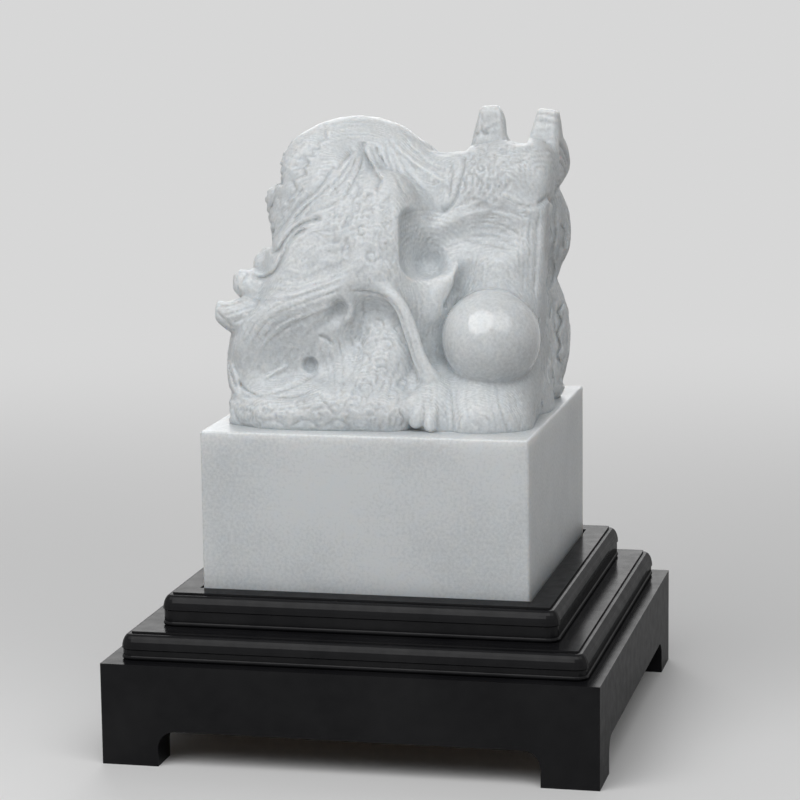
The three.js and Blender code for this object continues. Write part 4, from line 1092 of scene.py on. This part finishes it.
def draw_top():
    """From above, in millimetres: the back at the top."""
    r = Relief(*TOP_FIELD, SIDE_PITCH, 1.0, 19)
    # arch: fin along the crown, scales behind it
    crown = even([(-22, 1), (-14, 4), (-4, 5.4), (4, 4.6), (10, 4)], 24)
    r.ledge(saw(crown, (0, 1.2), (0, -0.2))[::-1], 2.0, 0.8, 0.02, 2)
    r.scales([(-20, 6), (-12, 7), (-4, 8), (4, 7.4), (9, 7)],
             [(-21, 13), (-12, 14), (-4, 14), (5, 12), (10, 11)], 18, 4, 0.7)
    # hair from the neck to the horns, and the mane behind them
    r.locks([(4, 3), (10, 3), (14, 3.4)], [(3, -7), (9, -8), (14, -8)], 7, 0.7, 0.7)
    r.locks([(14.5, 12), (15, 17), (14, 23)], [(28, 14), (28, 19), (27, 25)], 8, 0.8, 0.9)
    r.locks([(19.6, -6), (21, 0), (20.6, 8)], [(24, -5), (23.4, 1), (22.6, 8)], 3, 0.6, 0.6)
    for u, v in ((16.5, 0), (26, 2), (20.5, 12.6), (27, 15.5), (25, -4)):
        r.curl((u, v), 1.7, 1.4, u, 0.5, 0.6, 1 if u > 20 else -1)
    # upper coil
    r.scales([(-16, 16), (-6, 17.6), (4, 18), (12, 15)], [(-20, 22), (-8, 25.4), (5, 26), (15, 23)], 20, 4,
             0.7)
    # back of the shoulder
    r.flicks([(-22, -4), (-4, -6), (-4, -16), (-22, -16)], [[(-14, -2), (-14, -18)]], 30, 2.2, 0.45, 0.5)
    return r


def reliefs():
    return [
        (PHOTO, draw_front()),
        (Side(90), draw_right()),
        (Side(-90), draw_left()),
        (Side(180), draw_back()),
        (Side(0, 89.9), draw_top()),
    ]


# The block and its print face

BEVEL_STEPS = 3
GROUND_DROP = 1.0


def mesh_object(name, vertices, faces, material=None):
    mesh = bpy.data.meshes.new(name)
    mesh.vertices.add(len(vertices))
    mesh.vertices.foreach_set("co", np.asarray(vertices, np.float32).ravel())
    faces = np.asarray(faces, np.int32)
    mesh.loops.add(faces.size)
    mesh.loops.foreach_set("vertex_index", faces.ravel())
    mesh.polygons.add(len(faces))
    mesh.polygons.foreach_set("loop_start", np.arange(len(faces), dtype=np.int32) * faces.shape[1])
    mesh.update(calc_edges=True)
    mesh.validate()
    piece = bpy.data.objects.new(name, mesh)
    bpy.context.scene.collection.objects.link(piece)
    if material:
        mesh.materials.append(material)
    return piece


def with_outward_faces(piece):
    bm = bmesh.new()
    bm.from_mesh(piece.data)
    bmesh.ops.recalc_face_normals(bm, faces=bm.faces)
    bm.to_mesh(piece.data)
    bm.free()
    return piece


def shade_smooth(piece):
    piece.data.polygons.foreach_set("use_smooth", np.ones(len(piece.data.polygons), bool))


def combine(piece, tool, operation):
    """Joins or cuts one closed mesh with another and drops the tool."""
    change = piece.modifiers.new(operation.lower(), "BOOLEAN")
    change.object = tool
    change.operation = operation
    change.solver = "MANIFOLD"
    depsgraph = bpy.context.evaluated_depsgraph_get()
    result = bpy.data.meshes.new_from_object(piece.evaluated_get(depsgraph))
    piece.modifiers.clear()
    old = piece.data
    piece.data = result
    bpy.data.meshes.remove(old)
    bpy.data.objects.remove(tool)
    return piece


def block_piece():
    bm = bmesh.new()
    bmesh.ops.create_cube(bm, size=1)
    for vertex in bm.verts:
        vertex.co.x *= 2 * BLOCK_HALF
        vertex.co.y *= 2 * BLOCK_HALF
        vertex.co.z = BLOCK_BOTTOM + (vertex.co.z + 0.5) * BLOCK_HEIGHT
    bmesh.ops.bevel(bm, geom=bm.edges[:], offset=BLOCK_BEVEL, segments=BEVEL_STEPS, profile=0.5,
                    affect="EDGES")
    bmesh.ops.scale(bm, vec=(MM, MM, MM), verts=bm.verts)
    mesh = bpy.data.meshes.new("block")
    bm.to_mesh(mesh)
    bm.free()
    piece = bpy.data.objects.new("block", mesh)
    bpy.context.scene.collection.objects.link(piece)
    return piece


def print_lines(field):
    """The raised square spiral of the print face, as rectangles: low x, low y, high x, high y."""
    pitch = PRINT_LINE + PRINT_GAP
    lines = []
    reach = field - PRINT_GAP
    while reach > pitch:
        start = -reach - pitch if lines else -reach
        lines += [
            (start, -reach, reach, PRINT_LINE - reach),
            (reach - PRINT_LINE, -reach, reach, reach),
            (-reach, reach - PRINT_LINE, reach, reach),
            (-reach, pitch - reach, PRINT_LINE - reach, reach),
        ]
        reach -= pitch
    return lines


def print_ground():
    """The ground between the lines, as a closed mesh that stands below the block."""
    field = BLOCK_HALF - PRINT_BORDER - BLOCK_BEVEL
    lines = print_lines(field)
    marks = sorted({round(v, 4) for line in lines for v in line} | {-field, field})
    marks = [m for m in marks if -field <= m <= field]
    low, high = BLOCK_BOTTOM - GROUND_DROP, BLOCK_BOTTOM + PRINT_DEPTH
    count = len(marks) - 1
    middle = [(a + b) / 2 for a, b in zip(marks[:-1], marks[1:])]

    def is_ground(i, j):
        if not (0 <= i < count and 0 <= j < count):
            return False
        x, y = middle[i], middle[j]
        return not any(x0 < x < x1 and y0 < y < y1 for x0, y0, x1, y1 in lines)

    places = {}

    def corner(i, j, z):
        return places.setdefault((i, j, z), len(places))

    faces = []
    for i in range(count):
        for j in range(count):
            if not is_ground(i, j):
                continue
            ring = [(i, j), (i + 1, j), (i + 1, j + 1), (i, j + 1)]
            faces.append([corner(a, b, high) for a, b in ring])
            faces.append([corner(a, b, low) for a, b in reversed(ring)])
            beyond = [(i, j - 1), (i + 1, j), (i, j + 1), (i - 1, j)]
            for k, other in enumerate(beyond):
                if not is_ground(*other):
                    p, q = ring[k], ring[(k + 1) % 4]
                    faces.append([corner(*p, low), corner(*q, low), corner(*q, high), corner(*p, high)])
    vertices = [(marks[i] * MM, marks[j] * MM, z * MM) for i, j, z in places]
    return with_outward_faces(mesh_object("print_ground", vertices, faces))


# The stone: the carving's skin, pulled onto the surface and joined to the block

PULL_PROBE = 0.2
PULL_REACH = 0.1
LEAST_SLOPE = 0.2
EDGE_SOFTNESS = 0.2
OUTSIDE = 0.2
SHARP_ANGLE = 55


def close_off(clay):
    """Ends the stone inside the grid, so that its skin is closed."""
    for axis in range(3):
        edge = np.moveaxis(clay.field, axis, 0)
        for end in (0, -1):
            edge[end] = np.maximum(edge[end], OUTSIDE)


def carved_piece():
    clay = shape_dragon(CELL)
    emboss(clay, reliefs())
    keep_to_block(clay, EDGE_SOFTNESS)
    close_off(clay)
    points, quads = skin(clay)
    distance = np.clip(clay.sample(points), -PULL_REACH, PULL_REACH)
    slope = clay.slope(points, PULL_PROBE)
    points = points - distance[:, None] * slope / np.maximum((slope ** 2).sum(1), LEAST_SLOPE)[:, None]
    points[:, 2] += BLOCK_TOP
    return with_outward_faces(mesh_object("seal_carved", points * MM, quads))


def stone_piece(material):
    piece = carved_piece()
    block = combine(block_piece(), print_ground(), "DIFFERENCE")
    combine(piece, block, "UNION")
    mesh = piece.data
    mesh.materials.clear()
    mesh.materials.append(material)
    shade_smooth(piece)
    mesh.set_sharp_from_angle(angle=math.radians(SHARP_ANGLE))
    weighted = piece.modifiers.new("weighted", "WEIGHTED_NORMAL")
    weighted.keep_sharp = True
    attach(piece, "seal")
    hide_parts("seal_stone")


# Materials

TOOL_LINE = 0.00042
TOOL_DRIFT = 0.0016
PEARL_EDGE = 0.5
PEARL_COAT = 0.6
CARVING_EDGE = 0.6
BACKDROP = (0.68, 0.68, 0.68)
FLOOR_NEAR = 0.1
FLOOR_FAR = 0.5
FLOOR_SHOWN = 0.8
FLOOR_LIT = 0.45


class Paint:
    """The nodes of a material or of the world. A value is a number, a colour or another node's output."""

    def __init__(self, owner):
        owner.use_nodes = True
        self.owner = owner
        self.nodes = owner.node_tree.nodes
        self.links = owner.node_tree.links

    def add(self, kind, **settings):
        node = self.nodes.new("ShaderNode" + kind)
        for name, value in settings.items():
            setattr(node, name, value)
        return node

    def feed(self, node, values):
        for name, value in values.items():
            if isinstance(value, bpy.types.NodeSocket):
                self.links.new(value, node.inputs[name])
            else:
                node.inputs[name].default_value = value

    def noise(self, scale, detail=4.0, roughness=0.55, place=None):
        node = self.add("TexNoise")
        self.feed(node, {"Scale": scale, "Detail": detail, "Roughness": roughness,
                         "Vector": place or self.place})
        return node.outputs["Fac"]

    def ramp(self, value, stops):
        node = self.add("ValToRGB")
        elements = node.color_ramp.elements
        for element, (position, colour) in zip(elements, (stops[0], stops[-1])):
            element.position, element.color = position, (*colour, 1)
        for position, colour in stops[1:-1]:
            elements.new(position).color = (*colour, 1)
        self.feed(node, {"Fac": value})
        return node.outputs["Color"]

    def spread(self, value, low, high, new_low, new_high, **settings):
        node = self.add("MapRange", **settings)
        self.feed(node, {"From Min": low, "From Max": high, "To Min": new_low, "To Max": new_high,
                         "Value": value})
        return node.outputs["Result"]

    def math(self, operation, *values):
        node = self.add("Math", operation=operation)
        self.feed(node, dict(enumerate(values)))
        return node.outputs[0]

    def apart(self, operation, *values):
        """A length or a distance between places."""
        node = self.add("VectorMath", operation=operation)
        self.feed(node, dict(enumerate(values)))
        return node.outputs["Value"]

    def bump(self, height, distance, **values):
        node = self.add("Bump")
        self.feed(node, {"Distance": distance, "Height": height, **values})
        return node.outputs["Normal"]

    def shown_pale(self, light, factor=None):
        """Mixes a light with the plain pale backdrop, which cameras, gloss and glass see in its place."""
        shown = self.add("Emission")
        self.feed(shown, {"Color": (*BACKDROP, 1)})
        path = self.add("LightPath").outputs
        seen_rays = self.math("MAXIMUM", path["Is Camera Ray"], path["Is Glossy Ray"])
        seen_rays = self.math("MAXIMUM", seen_rays, path["Is Transmission Ray"])
        mix = self.add("MixShader")
        share = self.math("MULTIPLY", seen_rays, factor) if factor else seen_rays
        self.feed(mix, {0: share, 1: light, 2: shown.outputs[0]})
        return seen_rays, mix.outputs[0]


class Coat(Paint):
    """A material's nodes, with the object's own coordinates."""

    def __init__(self, name):
        super().__init__(bpy.data.materials.new(name))
        self.shader = self.nodes["Principled BSDF"]
        self.place = self.add("TexCoord").outputs["Object"]

    def done(self, values):
        self.feed(self.shader, values)
        return self.owner


def jade_material():
    """Milky stone with a sugary grain. The pearl is polished, and the rest keeps its tool's lines."""
    coat = Coat("white_jade_stone")
    clouds = coat.noise(42, 3)
    grains = coat.noise(1700, 2, 0.6)
    parts = coat.add("SeparateXYZ")
    coat.feed(parts, {0: coat.place})
    depth = coat.math("MULTIPLY_ADD", coat.noise(160, 2), TOOL_DRIFT, parts.outputs["Y"])
    lines = coat.math("SINE", coat.math("MULTIPLY", depth, 2 * math.pi / TOOL_LINE))
    x, y, h, radius = PEARL
    away = coat.apart("DISTANCE", coat.place, [x * MM, y * MM, (BLOCK_TOP + h) * MM])
    off_pearl = coat.spread(away, radius * MM, (radius + PEARL_EDGE) * MM, 0, 1)
    above = coat.spread(parts.outputs["Z"], BLOCK_TOP * MM, (BLOCK_TOP + CARVING_EDGE) * MM, 0, 1)
    broken = coat.spread(coat.noise(420, 3), 0.4, 0.65, 0, 1)
    carved = coat.math("MULTIPLY", above, off_pearl)
    carved = coat.math("MULTIPLY", carved, broken)
    lines = coat.math("MULTIPLY", lines, carved)

    shade = coat.math("MULTIPLY_ADD", grains, 0.9, clouds)
    shade = coat.math("MULTIPLY_ADD", lines, 0.14, shade)
    # Painted highlight and painted shade: pointiness lightens the base colour on ridges and darkens it in
    # grooves
    edges = coat.spread(coat.add("NewGeometry").outputs["Pointiness"], 0.47, 0.55, -0.07, 0.24)
    shade = coat.math("ADD", shade, edges)
    whorls = coat.math("PINGPONG", coat.math("MULTIPLY", coat.noise(190, 3, 0.6), 7.0), 0.5)
    whorls = coat.math("MULTIPLY", coat.spread(whorls, 0.02, 0.16, 1, 0), carved)
    shade = coat.math("MULTIPLY_ADD", whorls, 0.2, shade)
    colour = coat.ramp(coat.math("SUBTRACT", shade, 0.45), [
        (0.20, (0.520, 0.540, 0.550)),
        (0.52, (0.624, 0.652, 0.668)),
        (0.84, (0.740, 0.764, 0.776)),
    ])
    dull = coat.spread(coat.noise(300, 3), 0.3, 0.7, 0.24, 0.36)
    roughness = coat.math("MULTIPLY_ADD", off_pearl, dull, 0.14)
    polish = coat.math("MULTIPLY_ADD", off_pearl, -PEARL_COAT, PEARL_COAT)
    fine = coat.bump(lines, 0.00003)
    rough = coat.math("MULTIPLY", grains, off_pearl)
    return coat.done({
        "Base Color": colour,
        "Subsurface Weight": 1.0,
        "Subsurface Radius": (0.0048, 0.0042, 0.0037),
        "Subsurface Scale": 1.0,
        "IOR": 1.6,
        "Roughness": roughness,
        "Coat Weight": polish,
        "Coat Roughness": 0.05,
        "Normal": coat.bump(rough, 0.00002, Normal=fine),
    })


def lacquer_material():
    """Deep black with a thin clear coat, which alone shines."""
    coat = Coat("black_lacquer_coat")
    colour = coat.ramp(coat.noise(60, 3), [(0.3, (0.006, 0.006, 0.007)), (0.7, (0.012, 0.012, 0.013))])
    shine = coat.spread(coat.noise(400, 4), 0.3, 0.7, 0.24, 0.32)
    ripple = coat.bump(coat.noise(180, 3), 0.00002)
    return coat.done({
        "Base Color": colour,
        "Roughness": 0.5,
        "Specular IOR Level": 0.0,
        "Coat Weight": shine,
        "Coat Roughness": 0.19,
        "Normal": ripple,
        "Coat Normal": ripple,
    })


def raw_wood_material():
    coat = Coat("raw_wood_grain")
    stretched = coat.add("Mapping")
    coat.feed(stretched, {"Scale": (1, 14, 14), "Vector": coat.place})
    grain = coat.noise(60, 8, 0.65, stretched.outputs[0])
    browns = [(0.3, (0.24, 0.145, 0.075)), (0.5, (0.36, 0.235, 0.13)), (0.7, (0.46, 0.32, 0.19))]
    return coat.done({
        "Base Color": coat.ramp(grain, browns),
        "Roughness": 0.75,
        "Normal": coat.bump(grain, 0.0001),
    })


def felt_material():
    coat = Coat("black_felt_nap")
    fluff = coat.noise(1500, 6, 0.7)
    return coat.done({
        "Base Color": coat.ramp(fluff, [(0.3, (0.012, 0.012, 0.013)), (0.7, (0.045, 0.045, 0.048))]),
        "Roughness": 0.95,
        "Sheen Weight": 0.4,
        "Sheen Roughness": 0.5,
        "Normal": coat.bump(fluff, 0.00025),
    })


def steel_material():
    coat = Coat("zinc_steel_plate")
    spots = coat.noise(700, 4)
    return coat.done({
        "Metallic": 1.0,
        "Base Color": coat.ramp(spots, [(0.3, (0.48, 0.48, 0.46)), (0.7, (0.62, 0.62, 0.60))]),
        "Roughness": coat.spread(spots, 0.3, 0.7, 0.3, 0.5),
        "Normal": coat.bump(spots, 0.00002),
    })


def floor_material():
    """Pale floor that keeps the object's shadow and turns into the backdrop further away."""
    coat = Coat("pale_floor")
    away = coat.apart("LENGTH", coat.place)
    far = coat.spread(away, FLOOR_NEAR, FLOOR_FAR, 0, 1, interpolation_type="SMOOTHSTEP")
    seen_rays, light = coat.shown_pale(coat.shader.outputs[0], far)
    pale = coat.math("MULTIPLY_ADD", seen_rays, FLOOR_SHOWN - FLOOR_LIT, FLOOR_LIT)
    coat.feed(coat.nodes["Material Output"], {"Surface": light})
    return coat.done({"Roughness": 0.9, "Base Color": pale})


# The felt in the recess, all lengths in metres

FELT_CELLS = 40
FELT_WAVES = 6
FELT_WAVE = 0.00012
FELT_SINK = 0.00004
FELT_EDGE = 0.0006
FELT_SHOULDER = 0.0003
FELT_ROUNDING = 0.00015
FELT_SHRINK = 0.0001
FELT_RIM = 0.99
FELT_SEED = 3


def felt_piece(material):
    """A square of felt laid in the recess: a soft edge, and a top that waves a little."""
    low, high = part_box("felt_liner")
    rows = np.linspace(-1, 1, FELT_CELLS + 1)
    waves = np.random.default_rng(FELT_SEED).uniform(-0.5, 0.5, (FELT_WAVES, 4))
    vertices = []
    for z, edge in ((high.z, FELT_EDGE), (high.z - FELT_SHOULDER, 0.0), (low.z, 0.0)):
        for v in rows:
            for u in rows:
                wave = sum(a * math.sin(9 * (b * u + c * v) + 6 * d) for a, b, c, d in waves) / FELT_WAVES
                rim = max(abs(u), abs(v)) > FELT_RIM
                down = FELT_SINK + FELT_WAVE * abs(wave) if z == high.z else 0
                rounding = FELT_ROUNDING if rim and z == high.z else 0
                reach = high.x - (edge if rim else 0) - FELT_SHRINK * abs(wave)
                vertices.append((u * reach, v * reach, z - down - rounding))
    side = FELT_CELLS + 1
    layer = side * side
    cells = range(FELT_CELLS)
    top = [(j * side + i, j * side + i + 1, (j + 1) * side + i + 1, (j + 1) * side + i)
           for j in cells for i in cells]
    under = [tuple(2 * layer + k for k in reversed(face)) for face in top]
    ring = list(cells) + [FELT_CELLS + j * side for j in cells]
    ring += [layer - 1 - i for i in cells] + [(FELT_CELLS - j) * side for j in cells]
    walls = [(a + upper, a + upper + layer, b + upper + layer, b + upper)
             for a, b in zip(ring, ring[1:] + ring[:1]) for upper in (0, layer)]
    faces = top + under + walls
    used = sorted({k for face in faces for k in face})
    place_of = {k: n for n, k in enumerate(used)}
    faces = [[place_of[k] for k in face] for face in faces]
    piece = with_outward_faces(mesh_object("felt_sheet", [vertices[k] for k in used], faces, material))
    shade_smooth(piece)
    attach(piece, "stand")
    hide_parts("felt_liner")


def dress_stand():
    coats = {
        "black_lacquer": lacquer_material(),
        "raw_wood": raw_wood_material(),
        "zinc_steel": steel_material(),
    }
    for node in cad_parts.values():
        slot = node.data.materials[0].name
        if slot in coats:
            node.data.materials[0] = coats[slot]
    felt_piece(felt_material())


# Stage: floor, lamps, world and camera, in metres and watts

FLOOR_HALF = 15.0
LAMP_TARGET = Vector((0, 0, 0.06))
WORLD_LIGHT = 0.13
SENSOR_WIDTH = 36.0
CLIP_NEAR = 0.02
CLIP_FAR = 50


def placed(name, data):
    holder = bpy.data.objects.new(name, data)
    bpy.context.scene.collection.objects.link(holder)
    return holder


def add_floor():
    corners = [(x * FLOOR_HALF, y * FLOOR_HALF, 0) for x, y in ((-1, -1), (1, -1), (1, 1), (-1, 1))]
    mesh_object("floor", corners, [(0, 1, 2, 3)], floor_material())


def add_lamp(name, place, size, power):
    lamp = bpy.data.lights.new(name, "AREA")
    lamp.shape = "DISK"
    lamp.size = size
    lamp.energy = power
    holder = placed(name, lamp)
    holder.location = place
    holder.rotation_euler = (LAMP_TARGET - Vector(place)).to_track_quat("-Z", "Y").to_euler()
    holder.visible_camera = False


def add_world():
    world = bpy.data.worlds.new("studio")
    bpy.context.scene.world = world
    paint = Paint(world)
    light = paint.nodes["Background"]
    paint.feed(light, {"Color": (1, 1, 1, 1), "Strength": WORLD_LIGHT})
    paint.feed(paint.nodes["World Output"], {"Surface": paint.shown_pale(light.outputs[0])[1]})


def add_camera():
    camera = bpy.data.cameras.new("camera")
    camera.sensor_width = SENSOR_WIDTH
    camera.lens = PHOTO_FOCUS / PHOTO_WIDTH * SENSOR_WIDTH
    camera.clip_start = CLIP_NEAR
    camera.clip_end = CLIP_FAR
    holder = placed("camera", camera)
    turn = Matrix([PHOTO.right, PHOTO.up, -PHOTO.forward]).transposed()
    holder.matrix_world = Matrix.Translation(Vector(CAMERA_PLACE) * MM) @ turn.to_4x4()
    bpy.context.scene.camera = holder


bpy.context.scene.view_settings.view_transform = "Standard"
add_camera()
add_floor()
add_lamp("key", (-0.09, -0.26, 0.34), 0.4, 0.95)
add_lamp("fill", (0.22, -0.25, 0.4), 0.4, 0.6)
add_lamp("back", (-0.15, 0.75, 0.4), 0.7, 2.6)
add_world()
stone_piece(jade_material())
dress_stand()
